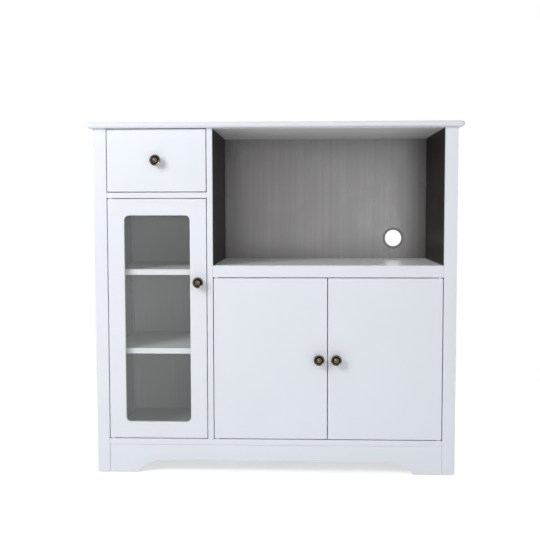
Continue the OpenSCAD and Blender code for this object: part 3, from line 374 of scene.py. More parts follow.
@dataclass(frozen=True)
class ClearGlass(Finish):
    """Clear float glass, seen through, with faint wiping marks in its gloss."""

    tint: Colour
    cover: float

    def lay(self, shader: Shader) -> Sockets:
        """Returns: the glass's sockets."""
        wiped = shader.noise(14.0, 3.0, warp=1.2)
        return {
            "Base Color": shader.blend(wiped, self.tint, scaled(self.tint, 0.96)),
            "Roughness": 0.02 + 0.05 * wiped,
            "Alpha": self.cover + 0.02 * (wiped - 0.5),
            "IOR": 1.5,
        }


WHITE = SatinLacquer("white_lacquer", "white_paint")
# Grey melamine: its grey is partly the board's own tone and partly painted shade inside the cupboards, on the
# shelves and in the drawer.
GREY_AND_SHADE_UPRIGHT = Melamine("grey_and_shade_melamine_upright", "grey_melamine", Grain.ALONG_Z)
GREY_AND_SHADE_FLAT = Melamine("grey_and_shade_melamine_flat", "grey_melamine", Grain.ALONG_X)
GREY_AND_SHADE_DRAWER = Melamine("grey_and_shade_melamine_drawer", "grey_melamine", Grain.ALONG_Y)
HARDBOARD = Fibreboard("hardboard", "hardboard")
RAW_EDGE = Fibreboard("drilled_fibreboard", "hardboard", (0.30, 0.21, 0.13), (0.15, 0.10, 0.06), 0.8)
# Painted light: the bay liner's ceiling and floor sheets get a pale, nearly matt steel that paints light on
# them.
PAINTED_LIGHT_PALE = (0.93, 0.93, 0.93)
PAINTED_LIGHT_CEILING_STEEL = BrushedSteel("brushed_steel_ceiling_painted_light", "brushed_steel", PAINTED_LIGHT_PALE, metallic=0.1)
PAINTED_LIGHT_FLOOR_STEEL = BrushedSteel("brushed_steel_floor_painted_light", "brushed_steel", PAINTED_LIGHT_PALE, metallic=0.1)
# Painted shade: the bay liner's side and back sheets get a dark steel, the sides with dimmed grazing shine,
# that paints the shade in the bay.
PAINTED_SHADE_WALL_STEEL = BrushedSteel("brushed_steel_walls_painted_shade", "brushed_steel", (0.29, 0.278, 0.272), Grain.ALONG_Z,
                          edge=0.16)
PAINTED_SHADE_BACK_STEEL = BrushedSteel("brushed_steel_back_painted_shade", "brushed_steel", (0.15, 0.147, 0.145), Grain.ALONG_Z, 0.3)
ZINC = ZincPlate("zinc_plate", "zinc_plated_steel")
BRONZE = AgedBronze("aged_bronze", "aged_bronze")
NYLON = Plastic("natural_nylon", "white_nylon", (0.78, 0.78, 0.75))
FERRITE = Plastic("ferrite_magnet", "grey_plastic", (0.035, 0.035, 0.037), 0.55)
DARK_PLASTIC = Plastic("grey_plastic", "grey_plastic", (0.20, 0.21, 0.22), 0.5, 0.05 * MM)
BEECH = Beech("beech", "beech")
GLASS = ClearGlass("clear_glass", "clear_glass", (0.80, 0.88, 0.86), 0.035)
GLASS_EDGE = ClearGlass("glass_edge", "clear_glass", (0.22, 0.42, 0.36), 0.75)


# ---------- Meshes ----------


class Side(Enum):
    """The sides of a board, as directions in the cabinet's frame."""

    LEFT = (-1.0, 0.0, 0.0)
    RIGHT = (1.0, 0.0, 0.0)
    FRONT = (0.0, -1.0, 0.0)
    BACK = (0.0, 1.0, 0.0)
    UNDER = (0.0, 0.0, -1.0)
    TOP = (0.0, 0.0, 1.0)


class Across(Enum):
    """The axis along a board's thickness."""

    X = 0
    Y = 1
    Z = 2

    def point(self, u: float, v: float, w: float) -> Vector:
        """A point from its two flat coordinates and its place w along the thickness."""
        at = [u, v]
        at.insert(self.value, w)
        return Vector(at)

    def spans(self, node: str) -> tuple[Flat, Flat, Flat]:
        """Returns: a CAD node's span along the thickness, and then its two flat spans."""
        flat = list(box_of(node))
        return flat.pop(self.value), *flat


def box_of(node: str) -> tuple[Flat, Flat, Flat]:
    """Returns: a CAD node's spans along X, Y and Z."""
    low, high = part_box(node)
    return tuple((low[k], high[k]) for k in range(3))


def in_scene(name: str, data: bpy.types.ID) -> Piece:
    """Puts a mesh, lamp or camera in the scene as an object at the origin. Returns: the object."""
    piece = bpy.data.objects.new(name, data)
    bpy.context.scene.collection.objects.link(piece)
    return piece


def from_bmesh(name: str, mesh: Solid, finishes: Sequence[Finish]) -> Piece:
    """Turns a bmesh into a smooth-shaded object whose creased edges are sharp.

    Args:
        name: the object's name.
        mesh: the bmesh, which is freed.
        finishes: its materials, in the order of its faces' material numbers.

    Returns:
        The object.
    """
    for edge in mesh.edges:
        edge.smooth = len(edge.link_faces) != 2 or edge.calc_face_angle() < CREASE
    for face in mesh.faces:
        face.smooth = True
    data = bpy.data.meshes.new(name)
    mesh.to_mesh(data)
    mesh.free()
    for finish in finishes:
        data.materials.append(finish.material())
    return in_scene(name, data)


def frozen(piece: Piece) -> Piece:
    """Applies a piece's modifiers to its mesh. Returns: the piece."""
    graph = bpy.context.evaluated_depsgraph_get()
    data = bpy.data.meshes.new_from_object(piece.evaluated_get(graph), preserve_all_data_layers=True,
                                           depsgraph=graph)
    piece.modifiers.clear()
    old, piece.data = piece.data, data
    data.name = piece.name
    bpy.data.meshes.remove(old)
    return piece


def evened(piece: Piece) -> Piece:
    """Gives a piece normals that keep its large faces flat. Returns: the piece."""
    piece.modifiers.new("normals", "WEIGHTED_NORMAL").keep_sharp = True
    return frozen(piece)


def fitted(piece: Piece, finish: Finish, *nodes: str, body: str = "case") -> None:
    """Ties a finished piece to its CAD body and nodes, and reports it.

    Args:
        piece: the piece.
        finish: its first finish; not used.
        nodes: the CAD nodes that it stands for, if any.
        body: the body that carries it.
    """
    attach(piece, body)
    if nodes:
        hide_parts(*nodes)
    faces = len(piece.data.polygons)
    LOG.info("%s: %d faces on %s, for %s", piece.name, faces, body, ", ".join(nodes) or "itself")


def made(name: str, mesh: Solid, finishes: Sequence[Finish], *nodes: str, body: str = "case") -> None:
    """Turns a bmesh into a finished piece, tied to its body and nodes."""
    fitted(evened(from_bmesh(name, mesh, finishes)), finishes[0], *nodes, body=body)


def rounded_outline(u: Flat, v: Flat, radius: float, steps: int) -> list[Flat]:
    """A rectangle with rounded corners, as steps + 1 points a corner, anticlockwise.

    Args:
        u: its span along the first flat axis.
        v: its span along the second.
        radius: the corners' radius.
        steps: the steps of each corner.

    Returns:
        The outline's points.
    """
    points = []
    for x, y, quarter in ((u[1], v[1], 0), (u[0], v[1], 1), (u[0], v[0], 2), (u[1], v[0], 3)):
        middle = (x - math.copysign(radius, x - sum(u) / 2), y - math.copysign(radius, y - sum(v) / 2))
        for k in range(steps + 1):
            angle = math.pi / 2 * (quarter + k / steps)
            points.append((middle[0] + radius * math.cos(angle), middle[1] + radius * math.sin(angle)))
    return points


def ring(y: float, spans: tuple[Flat, Flat], grow: float, radius: float, steps: int = 8) -> list[Vector]:
    """Returns: a rounded outline at y, from its spans along X and Z, grown outwards by grow."""
    u, v = ((low - grow, high + grow) for low, high in spans)
    return [Vector((x, y, z)) for x, z in rounded_outline(u, v, radius, steps)]


def quarter_round(radius: float, steps: int = 4) -> list[Flat]:
    """Returns: a quarter round as (depth, inset) pairs, from the face's edge to the side."""
    angles = (math.pi / 2 * k / steps for k in range(steps + 1))
    return [(radius * (1 - math.cos(a)), radius * (1 - math.sin(a))) for a in angles]


def lofted(loops: Sequence[Sequence[Vector]], closed: bool = False) -> Solid:
    """Joins loops of the same number of points by strips of faces.

    Args:
        loops: the loops, in order.
        closed: joins the last loop to the first, for a ring; otherwise both ends get a face.

    Returns:
        The bmesh, with its faces pointing outwards.
    """
    mesh = bmesh.new()
    rings = [[mesh.verts.new(p) for p in loop] for loop in loops]
    pairs = list(zip(rings, rings[1:])) + ([(rings[-1], rings[0])] if closed else [])
    for first, second in pairs:
        for k in range(len(first)):
            n = (k + 1) % len(first)
            mesh.faces.new((first[k], first[n], second[n], second[k]))
    if not closed:
        mesh.faces.new(rings[0])
        mesh.faces.new(rings[-1])
    bmesh.ops.recalc_face_normals(mesh, faces=mesh.faces)
    return mesh


def eased(mesh: Solid, edges: Iterable[bmesh.types.BMEdge], radius: float) -> Solid:
    """Rounds edges of a bmesh. Returns: the same bmesh."""
    bmesh.ops.bevel(mesh, geom=list(edges), offset=radius, segments=2, profile=0.5, affect="EDGES")
    return mesh


def block(x: Flat, y: Flat, z: Flat, ease: float) -> Solid:
    """Returns: a block with rounded edges and corners."""
    corners = ((x[0], z[0]), (x[1], z[0]), (x[1], z[1]), (x[0], z[1]))
    mesh = lofted([[Vector((u, w, v)) for u, v in corners] for w in y])
    return eased(mesh, mesh.edges, ease)


def merged(parts: Iterable[Solid]) -> Solid:
    """Puts meshes together, the first with material 0, the next with 1, and so on. Returns: one bmesh."""
    whole = bmesh.new()
    for number, part in enumerate(parts):
        for face in part.faces:
            face.material_index = number
        data = bpy.data.meshes.new("part")
        part.to_mesh(data)
        part.free()
        whole.from_mesh(data)
        bpy.data.meshes.remove(data)
    return whole


def turned(section: Iterable[Flat], steps: int = 72) -> Solid:
    """Turns a half section of (radius, height) points about +Z. Points at radius 0 become poles.

    Args:
        section: the half section, from one end of the axis to the other.
        steps: the faces round the axis.

    Returns:
        The bmesh, with its faces pointing outwards.
    """
    mesh = bmesh.new()
    around = [2 * math.pi * k / steps for k in range(steps)]
    rings = []
    for r, h in section:
        points = [(r * math.cos(a), r * math.sin(a), h) for a in around] if r > 0 else [(0.0, 0.0, h)]
        rings.append([mesh.verts.new(p) for p in points])
    for pair in zip(rings, rings[1:]):
        for k in range(steps):
            n = k + 1
            first, second = ([loop[k % len(loop)], loop[n % len(loop)]] for loop in pair)
            mesh.faces.new(list(dict.fromkeys(first + second[::-1])))
    bmesh.ops.recalc_face_normals(mesh, faces=mesh.faces)
    return mesh


# ---------- Repeated pieces, made by Geometry Nodes ----------


class GeometryTree(Nodes):
    """A Geometry Nodes tree that puts one shape at each vertex of a mesh, along the vertex's "aim"."""

    def __init__(self, name: str, sizes: dict[str, float]) -> None:
        """Args: name: the tree's name. sizes: its named size inputs, with their values in metres."""
        self.group = bpy.data.node_groups.new(name, "GeometryNodeTree")
        super().__init__(self.group)
        face = self.group.interface
        face.new_socket("Geometry", in_out="INPUT", socket_type="NodeSocketGeometry")
        for size, default in sizes.items():
            face.new_socket(size, in_out="INPUT", socket_type="NodeSocketFloat").default_value = default
        face.new_socket("Seed", in_out="INPUT", socket_type="NodeSocketInt").default_value = 7
        face.new_socket("Material", in_out="INPUT", socket_type="NodeSocketMaterial")
        face.new_socket("Geometry", in_out="OUTPUT", socket_type="NodeSocketGeometry")
        self.given = self.node("NodeGroupInput")

    def given_as(self, *names: str) -> list[Value]:
        """Returns: the named inputs."""
        return [Value(self, self.given.outputs[name]) for name in names]

    def vector(self, x: Number, y: Number, z: Number) -> Value:
        """Returns: a vector of three numbers."""
        return self.value("ShaderNodeCombineXYZ", {0: x, 1: y, 2: z})

    def raised(self, shape: Value, z: Number) -> Value:
        """Returns: a shape moved along Z."""
        by = self.vector(0.0, 0.0, z)
        return self.value("GeometryNodeTransform", {"Geometry": shape, "Translation": by})

    def rod(self, diameter: Value, low: Number, high: Number, sides: int) -> Value:
        """Returns: a closed rod along Z, from low to high."""
        span = high - low
        size = {"Vertices": sides, "Radius": diameter * 0.5, "Depth": span}
        rod = self.value("GeometryNodeMeshCylinder", size, "Mesh")
        return self.raised(rod, (low + high) * 0.5)

    def funnel(self, below: Value, low: Number, above: Value, high: Number) -> Value:
        """Returns: an open strip round Z, from the diameter below at low to the diameter above at high."""
        size = {"Vertices": 20, "Radius Bottom": below * 0.5, "Radius Top": above * 0.5, "Depth": high - low}
        return self.raised(self.value("GeometryNodeMeshCone", size, "Mesh", fill_type="NONE"), low)

    def disc(self, diameter: Value, at: Number) -> Value:
        """Returns: a flat disc across Z."""
        size = {"Vertices": 20, "Radius": diameter * 0.5}
        return self.raised(self.value("GeometryNodeMeshCircle", size, "Mesh", fill_type="NGON"), at)

    def joined(self, *shapes: Value) -> Value:
        """Returns: shapes joined, with the points that meet merged."""
        join = self.node("GeometryNodeJoinGeometry")
        for shape in shapes:
            self.tree.links.new(shape.socket, join.inputs[0])
        whole = Value(self, join.outputs[0])
        return self.value("GeometryNodeMergeByDistance", {"Geometry": whole, "Distance": WELD})

    def lathed(self, *section: tuple[Value, Number]) -> Value:
        """Returns: a closed shape round Z, through (diameter, height) pairs from its foot to its top."""
        walls = [self.funnel(*low, *high) for low, high in zip(section, section[1:])]
        return self.joined(self.disc(*section[0]), *walls, self.disc(*section[-1]))

    def cross_cut(self, shape: Value, top: Number) -> Value:
        """Cuts a cross recess into a shape's top, where its depth is over 0. Returns: the shape."""
        width, depth = self.given_as("Recess", "Recess depth")
        arm = width * 0.26
        sizes = (self.vector(width, arm, depth * 2.0), self.vector(arm, width, depth * 2.0))
        bars = [self.value("GeometryNodeMeshCube", {"Size": s}, "Mesh") for s in sizes]
        both = self.node("GeometryNodeMeshBoolean", {1: bars[0]}, operation="UNION", solver="EXACT")
        self.tree.links.new(bars[1].socket, both.inputs[1])
        cutter = self.raised(Value(self, both.outputs["Mesh"]), top)
        cut = self.value("GeometryNodeMeshBoolean", {0: shape, 1: cutter}, "Mesh",
                         operation="DIFFERENCE", solver="EXACT")
        deep = self.value("FunctionNodeCompare", {0: depth, 1: 0.01 * MM},
                          data_type="FLOAT", operation="GREATER_THAN")
        return self.value("GeometryNodeSwitch", {0: deep, 1: shape, 2: cut}, input_type="GEOMETRY")

    def repeat(self, shape: Value) -> None:
        """Puts the shape at each vertex, turned along "aim" and spun at random, and ends the tree."""
        points, seed, material = self.given_as("Geometry", "Seed", "Material")
        aim = self.value("GeometryNodeInputNamedAttribute", {"Name": "aim"}, data_type="FLOAT_VECTOR")
        turn = self.value("FunctionNodeAlignRotationToVector", {"Vector": aim}, axis="Z")
        at = self.value("GeometryNodeInstanceOnPoints",
                        {"Points": points, "Instance": shape, "Rotation": turn})
        spin = self.value("FunctionNodeRandomValue", {2: 0.0, 3: 2 * math.pi, "Seed": seed}, 1,
                          data_type="FLOAT")
        spun = self.value("GeometryNodeRotateInstances",
                          {"Instances": at, "Rotation": self.vector(0.0, 0.0, spin)})
        real = self.value("GeometryNodeRealizeInstances", {"Geometry": spun})
        done = self.value("GeometryNodeSetMaterial", {"Geometry": real, "Material": material})
        self.node("NodeGroupOutput", {0: done})

    def apply(self, name: str, places: Sequence[Place], finish: Finish, **sizes: float) -> Piece:
        """Runs the tree on points.

        Args:
            name: the new piece's name.
            places: (point, direction) pairs, in metres.
            finish: the piece's finish.
            sizes: values of the named inputs, in lower case and with underscores for spaces.

        Returns:
            The piece, as a plain mesh.
        """
        data = bpy.data.meshes.new(name)
        data.from_pydata([p for p, _ in places], [], [])
        aim = data.attributes.new("aim", "FLOAT_VECTOR", "POINT")
        aim.data.foreach_set("vector", [c for _, way in places for c in way])
        piece = in_scene(name, data)
        grow = piece.modifiers.new("repeat", "NODES")
        grow.node_group = self.group
        wanted = {key.replace("_", " ").capitalize(): size for key, size in sizes.items()}
        wanted["Material"] = finish.material()
        for item in self.group.interface.items_tree:
            if item.in_out == "INPUT" and item.name in wanted:
                grow[item.identifier] = wanted[item.name]
        return frozen(piece)

    def fit(self, name: str, places: Sequence[Place], finish: Finish, *nodes: str, body: str = "case",
            **sizes: float) -> None:
        """Runs the tree on points, and ties the piece to its body and nodes."""
        fitted(self.apply(name, places, finish, **sizes), finish, *nodes, body=body)


def fastener_tree() -> GeometryTree:
    """Returns: the tree of nails and screws: a domed head with a cross recess, on a shank."""
    tree = GeometryTree("fastener", {"Head": 6 * MM, "Rise": 1.2 * MM, "Shank": 3 * MM, "Length": 10 * MM,
                                     "Recess": 0.0, "Recess depth": 0.0})
    head, rise, shank, length = tree.given_as("Head", "Rise", "Shank", "Length")
    cap = tree.lathed((head, 0.0), (head, rise * 0.45), (head * 0.86, rise * 0.85), (head * 0.6, rise))
    tree.repeat(tree.joined(tree.cross_cut(cap, rise), tree.rod(shank, 0.0 - length, 0.0, 12)))
    return tree


def hole_tree() -> GeometryTree:
    """Returns: the tree of the bits that drill the boards' holes, which start 1 mm out of the board."""
    tree = GeometryTree("drill", {"Bore": 5 * MM, "Depth": 6 * MM})
    bore, depth = tree.given_as("Bore", "Depth")
    tree.repeat(tree.rod(bore, 0.0 - depth, 1 * MM, 24))
    return tree


def cam_tree() -> GeometryTree:
    """Returns: the tree of cams: a drum with a chamfered face, cut with a cross."""
    tree = GeometryTree("cam", {"Drum": 15 * MM, "Depth": 12 * MM, "Recess": 7 * MM, "Recess depth": 3 * MM})
    drum, depth = tree.given_as("Drum", "Depth")
    edge = 0.5 * MM
    body = tree.lathed((drum, 0.0 - depth), (drum, -edge), (drum - 2 * edge, 0.0))
    tree.repeat(tree.cross_cut(body, 0.0))
    return tree


def pin_tree() -> GeometryTree:
    """Returns: the tree of shelf pins: a rod with a thin collar that stops it at the panel."""
    tree = GeometryTree("shelf_pin", {"Rod": 5 * MM, "Collar": 7 * MM, "Inside": 6 * MM, "Outside": 9 * MM})
    rod, collar, inside, tip = tree.given_as("Rod", "Collar", "Inside", "Outside")
    edge, width, point = 0.1 * MM, 1 * MM, 0.6 * MM
    tree.repeat(tree.lathed((rod, 0.0 - inside), (rod, 0.0), (collar, edge), (collar, width - edge),
                            (rod, width), (rod, tip - point), (rod * 0.76, tip)))
    return tree


# ---------- Boards ----------


@dataclass(frozen=True)
class Bores:
    """Holes of one size in a board: where each one starts, and the way out of it."""

    places: tuple[Place, ...]
    bore: float
    depth: float


@dataclass(frozen=True)
class Board:
    """A lacquered or faced board that stands for one CAD node, with softly eased edges."""

    node: str
    across: Across = Across.Z
    ease: float = 0.7 * MM
    finish: Finish = WHITE
    faced: tuple[tuple[Side, Finish], ...] = ()
    outline: tuple[Flat, ...] = ()
    bores: tuple[Bores, ...] = ()
    body: str = "case"
    corner: float = math.radians(25)

    def shape(self) -> Solid:
        """Returns: the board's solid, eased along its edges but not along its arches."""
        ends, (u0, u1), (v0, v1) = self.across.spans(self.node)
        outline = self.outline or ((u0, v0), (u1, v0), (u1, v1), (u0, v1))
        mesh = lofted([[self.across.point(u, v, w) for u, v in outline] for w in ends])
        corners = [edge for edge in mesh.edges if edge.calc_face_angle() > self.corner]
        return eased(mesh, corners, self.ease)

    def finishes(self) -> list[Finish]:
        """Returns: the board's finishes, each one once."""
        return list(dict.fromkeys([self.finish, *(finish for _, finish in self.faced)]))

    def face(self, mesh: Solid) -> None:
        """Gives the faces on each faced side their finish's material number."""
        for side, finish in self.faced:
            way = Vector(side.value)
            reach = max(vert.co.dot(way) for vert in mesh.verts) - 0.1 * MM
            for face in mesh.faces:
                if face.normal.dot(way) > 0.99 and face.calc_center_median().dot(way) > reach:
                    face.material_index = self.finishes().index(finish)

    def build(self, drill: GeometryTree) -> None:
        """Builds, drills and fits the board. Args: drill: the tree that makes the bits."""
        mesh = self.shape()
        self.face(mesh)
        piece = from_bmesh(self.node + "_board", mesh, self.finishes())
        bits = []
        for number, bores in enumerate(self.bores):
            bits.append(drill.apply(f"{self.node}_bits_{number}", bores.places, RAW_EDGE, bore=bores.bore,
                                    depth=bores.depth))
            cut = piece.modifiers.new("drill", "BOOLEAN")
            cut.object = bits[-1]
            cut.operation = "DIFFERENCE"
            cut.solver = "EXACT"
            cut.material_mode = "TRANSFER"
        if bits:
            frozen(piece)
        for bit in bits:
            bpy.data.objects.remove(bit)
        fitted(evened(piece), self.finish, self.node, body=self.body)


def arch(length: float, foot: float, rise: float, run: float, steps: int = 14) -> list[Flat]:
    """The lower edge of a board with an arch between two feet.

    Args:
        length: the board's length.
        foot: the length of each foot.
        rise: the arch's height over the feet.
        run: the length of each curved end.
        steps: the steps of each curved end.

    Returns:
        (along, up) points from the start to the end of the board.
    """
    radius = (run * run + rise * rise) / (2 * rise)
    half = math.asin(run / radius)
    curve = []
    for k in range(steps + 1):
        angle = half * (1 - k / steps)
        curve.append((foot + run - radius * math.sin(angle), rise - radius + radius * math.cos(angle)))
    return [(0.0, 0.0), *curve, *((length - x, z) for x, z in reversed(curve)), (length, 0.0)]


@dataclass
class Worktop:
    """The worktop, whose front and side edges are full half rounds."""

    steps: int = 12
    least_corner: float = 0.02 * MM

    def build(self) -> None:
        """Builds the worktop, from its underside up."""
        (x0, x1), (y0, y1), (z0, z1) = box_of("top_board")
        radius = (z1 - z0) / 2
        loops = []
        for k in range(self.steps + 1):
            angle = math.pi * (k / self.steps - 0.5)
            inset = radius * (1 - math.cos(angle))
            corner = max(radius * math.cos(angle), self.least_corner)
            front = [(x0 + inset + x, y0 + inset + y) for x, y in quarter_round(corner, 8)]
            mirrored = [(x0 + x1 - x, y) for x, y in reversed(front)]
            outline = [(x0 + inset, y1), *front, *mirrored, (x1 - inset, y1)]
            loops.append([Vector((x, y, z0 + radius + radius * math.sin(angle))) for x, y in outline])
        made("worktop", lofted(loops), [WHITE], "top_board")


@dataclass
class Carcase:
    """The legs, panels, rails, shelves and backs of the case."""

    arch_rise: float = 32 * MM
    arch_run: float = 65 * MM
    apron_foot: float = 78 * MM
    side_foot: float = 24 * MM
    pin_rows: Flat = (-114.4 * MM, 143.6 * MM)
    pin_pitch: float = 36 * MM
    pin_spares: int = 2
    pin_radius: float = 2.5 * MM
    pin_bore: Flat = (5.1 * MM, 6.1 * MM)
    cam_rows: Flat = (-112.4 * MM, 134.6 * MM)
    cam_in: float = 24 * MM
    cam_bore: Flat = (15.2 * MM, 12.1 * MM)
    screw_bore: Flat = (10.2 * MM, 4 * MM)
    outlet_bore: Flat = (54.2 * MM, 8 * MM)
    edging: float = 0.8 * MM
    arris: float = 1.6 * MM
    fine: float = 0.3 * MM
    back_arris: float = 0.2 * MM

    def arched(self, node: str, across: Across, foot: float) -> tuple[Flat, ...]:
        """Returns: the outline of a board with an arch in its lower edge."""
        _, (u0, u1), (v0, v1) = across.spans(node)
        low = [(u0 + x, v0 + z) for x, z in arch(u1 - u0, foot, self.arch_rise, self.arch_run)]
        return (*low, (u1, v1), (u0, v1))

    def pin_bores(self, x: float, out: Side, *shelves: str) -> Bores:
        """Returns: the rows of shelf-pin holes in the face at x."""
        steps = [k * self.pin_pitch for k in range(-self.pin_spares, self.pin_spares + 1)]
        places = []
        for shelf in shelves:
            middle = box_of(shelf)[2][0] - self.pin_radius
            places += [((x, y, middle + step), out.value) for y in self.pin_rows for step in steps]
        return Bores(tuple(places), *self.pin_bore)

    def cam_bores(self, z: float, *ends: float) -> Bores:
        """Returns: the cam holes in the underside at z, one row by each end."""
        places = tuple(((x, y, z), Side.UNDER.value) for x in ends for y in self.cam_rows)
        return Bores(places, *self.cam_bore)

    def top_cam_bores(self, x: float, out: Side) -> Bores:
        """Returns: the cam holes near the top of the upright face at x."""
        z = box_of("left_side_panel")[2][1] - self.cam_in
        return Bores(tuple(((x, y, z), out.value) for y in self.cam_rows), *self.cam_bore)

    def side_panel(self, node: str, x: float, inwards: Side, *shelves: str) -> Board:
        """Returns: a side panel, whose inner face is at x and has the holes for some shelves' pins."""
        return Board(node, Across.X, faced=((inwards, GREY_AND_SHADE_UPRIGHT),),
                     outline=self.arched(node, Across.X, self.side_foot),
                     bores=(self.pin_bores(x, inwards, *shelves), self.top_cam_bores(x, inwards)))

    def boards(self) -> list[Board]:
        """Returns: the plain boards of the case."""
        wall = box_of("right_side_panel")[0][0]
        inner = wall - self.cam_in
        part_l, part_r = box_of("partition")[0]
        middle = (part_l + part_r) / 2
        under = {node: box_of(node)[2][0] for node in ("bottom_panel", "drawer_shelf", "bay_shelf")}
        screws = tuple(((middle, y, under["bottom_panel"]), Side.UNDER.value) for y in self.cam_rows)
        (outlet_l, outlet_r), (_, outlet_y), (outlet_low, outlet_high) = box_of("cable_grommet")
        outlet = ((outlet_l + outlet_r) / 2, outlet_y, (outlet_low + outlet_high) / 2)
        column = ("upper_shelf", "middle_shelf")
        top, lower = (Side.TOP, GREY_AND_SHADE_FLAT), (Side.UNDER, GREY_AND_SHADE_FLAT)
        left, right, front = ((side, GREY_AND_SHADE_UPRIGHT) for side in (Side.LEFT, Side.RIGHT, Side.FRONT))
        return [
            *(Board(f"{side}_{end}_leg", ease=self.arris)
              for side in ("left", "right") for end in ("front", "rear")),
            self.side_panel("left_side_panel", -wall, Side.RIGHT, *column),
            self.side_panel("right_side_panel", wall, Side.LEFT, "cupboard_shelf"),
            Board("partition", Across.X, faced=(left, right),
                  bores=(self.pin_bores(part_l, Side.LEFT, *column),
                         self.pin_bores(part_r, Side.RIGHT, "cupboard_shelf"),
                         self.top_cam_bores(part_l, Side.LEFT))),
            Board("bottom_panel", ease=self.arris, faced=(top,),
                  bores=(self.cam_bores(under["bottom_panel"], -inner, inner),
                         Bores(screws, *self.screw_bore))),
            Board("front_apron", Across.Y, self.arris,
                  outline=self.arched("front_apron", Across.Y, self.apron_foot)),
            Board("rear_rail", Across.Y),
            Board("drawer_shelf", faced=(top, lower),
                  bores=(self.cam_bores(under["drawer_shelf"], -inner, part_l - self.cam_in),)),
            Board("bay_shelf", faced=(lower,),
                  bores=(self.cam_bores(under["bay_shelf"], part_r + self.cam_in, inner),)),
            Board("bay_front_rail", Across.Y, self.arris),
            *(Board(f"back_panel_{name}", Across.Y, self.back_arris, HARDBOARD, (front,))
              for name in ("left", "lower")),
            Board("back_panel_bay", Across.Y, self.back_arris, HARDBOARD,
                  bores=(Bores(((outlet, Side.BACK.value),), *self.outlet_bore),)),
        ]

    def shelf(self, node: str) -> None:
        """Builds a loose shelf: a grey board, whose grey is partly painted shade, and the white edging on its
        front.
        """
        x, (y0, y1), z = box_of(node)
        joint = y0 + self.edging
        made(node + "_board", block(x, (joint, y1), z, self.fine), [GREY_AND_SHADE_FLAT], node)
        made(node + "_edging", block(x, (y0, joint), z, self.fine), [WHITE])

    def build(self, drill: GeometryTree) -> None:
        """Builds all boards. Args: drill: the tree that makes the bits."""
        for board in self.boards():
            board.build(drill)
        for node in ("upper_shelf", "middle_shelf", "cupboard_shelf"):
            self.shelf(node)


# ---------- Doors, drawer and knobs ----------


def arrised(node: str, ease: float, steps: int) -> list[list[Vector]]:
    """Returns: loops round a CAD node's box from front to back, with rounded arrises and corners."""
    x, (y0, y1), z = box_of(node)
    front = [ring(y0 + depth, (x, z), -inset, ease, steps) for depth, inset in quarter_round(ease)]
    back = [ring(y1 - depth, (x, z), -inset, ease, steps) for depth, inset in quarter_round(ease)]
    return front + back[::-1]


def slab(name: str, node: str, body: str, ease: float = 1.5 * MM) -> None:
    """Builds a door or drawer front that fills a CAD node's box, with arrises of the radius ease."""
    made(name, lofted(arrised(node, ease, 4)), [WHITE], node, body=body)


@dataclass(frozen=True)
class Knob:
    """A cup-shaped knob with a button in its hollow, and the screw that holds it.

    Each corner of its section has a radius and a height, as shares of the knob's own, and how much
    the bronze is rubbed there.
    """

    node: str
    body: str
    door: str
    diameter: float = 30 * MM
    reach: float = 26 * MM
    corners: tuple[Point, ...] = (
        (0.00, 0.00, 0.1), (0.56, 0.00, 0.2), (0.58, 0.015, 0.5), (0.58, 0.045, 0.5), (0.555, 0.065, 0.2),
        (0.50, 0.085, 0.1), (0.42, 0.12, 0.1), (0.355, 0.17, 0.15), (0.315, 0.24, 0.25), (0.30, 0.31, 0.3),
        (0.305, 0.38, 0.3), (0.335, 0.45, 0.25), (0.42, 0.51, 0.2), (0.55, 0.565, 0.2), (0.70, 0.60, 0.25),
        (0.83, 0.63, 0.3), (0.92, 0.665, 0.4), (0.975, 0.705, 0.45), (0.997, 0.75, 0.5), (0.993, 0.80, 0.6),
        (0.970, 0.845, 0.7), (0.935, 0.868, 0.6), (0.900, 0.868, 0.45), (0.87, 0.855, 0.36),
        (0.82, 0.840, 0.3), (0.76, 0.8265, 0.27), (0.68, 0.815, 0.2), (0.655, 0.795, 0.05),
        (0.64, 0.765, 0.0), (0.60, 0.745, 0.0), (0.50, 0.740, 0.0), (0.465, 0.755, 0.0), (0.455, 0.80, 0.1),
        (0.448, 0.86, 0.3), (0.432, 0.90, 0.5), (0.400, 0.925, 0.6), (0.350, 0.939, 0.5), (0.300, 0.944, 0.3),
        (0.270, 0.935, 0.1), (0.245, 0.935, 0.15), (0.20, 0.952, 0.35), (0.13, 0.978, 0.4),
        (0.06, 0.995, 0.45), (0.00, 1.00, 0.45))

    def build(self, screws: GeometryTree) -> None:
        """Builds the knob and its screw. Args: screws: the fastener tree."""
        x, _, z = (sum(span) / 2 for span in box_of(self.node))
        front, back = box_of(self.door)[1]
        radius = self.diameter / 2
        mesh = turned((r * radius, h * self.reach) for r, h, _ in self.corners)
        layer = mesh.verts.layers.float.new("rub")
        for vert in mesh.verts:
            r, h = math.hypot(vert.co.x, vert.co.y) / radius, vert.co.z / self.reach
            vert[layer] = min(self.corners, key=lambda c: (c[0] - r) ** 2 + (c[1] - h) ** 2)[2]
        mesh.transform(Matrix.Translation((x, front, z)) @ Matrix.Rotation(math.pi / 2, 4, "X"))
        made(self.node + "_turned", mesh, [BRONZE], self.node, body=self.body)
        screws.fit(self.node + "_screw", [((x, back, z), Side.BACK.value)], ZINC, body=self.body,
                   head=9 * MM, rise=2.5 * MM, shank=4 * MM, length=14 * MM, recess=4.4 * MM,
                   recess_depth=1.6 * MM)


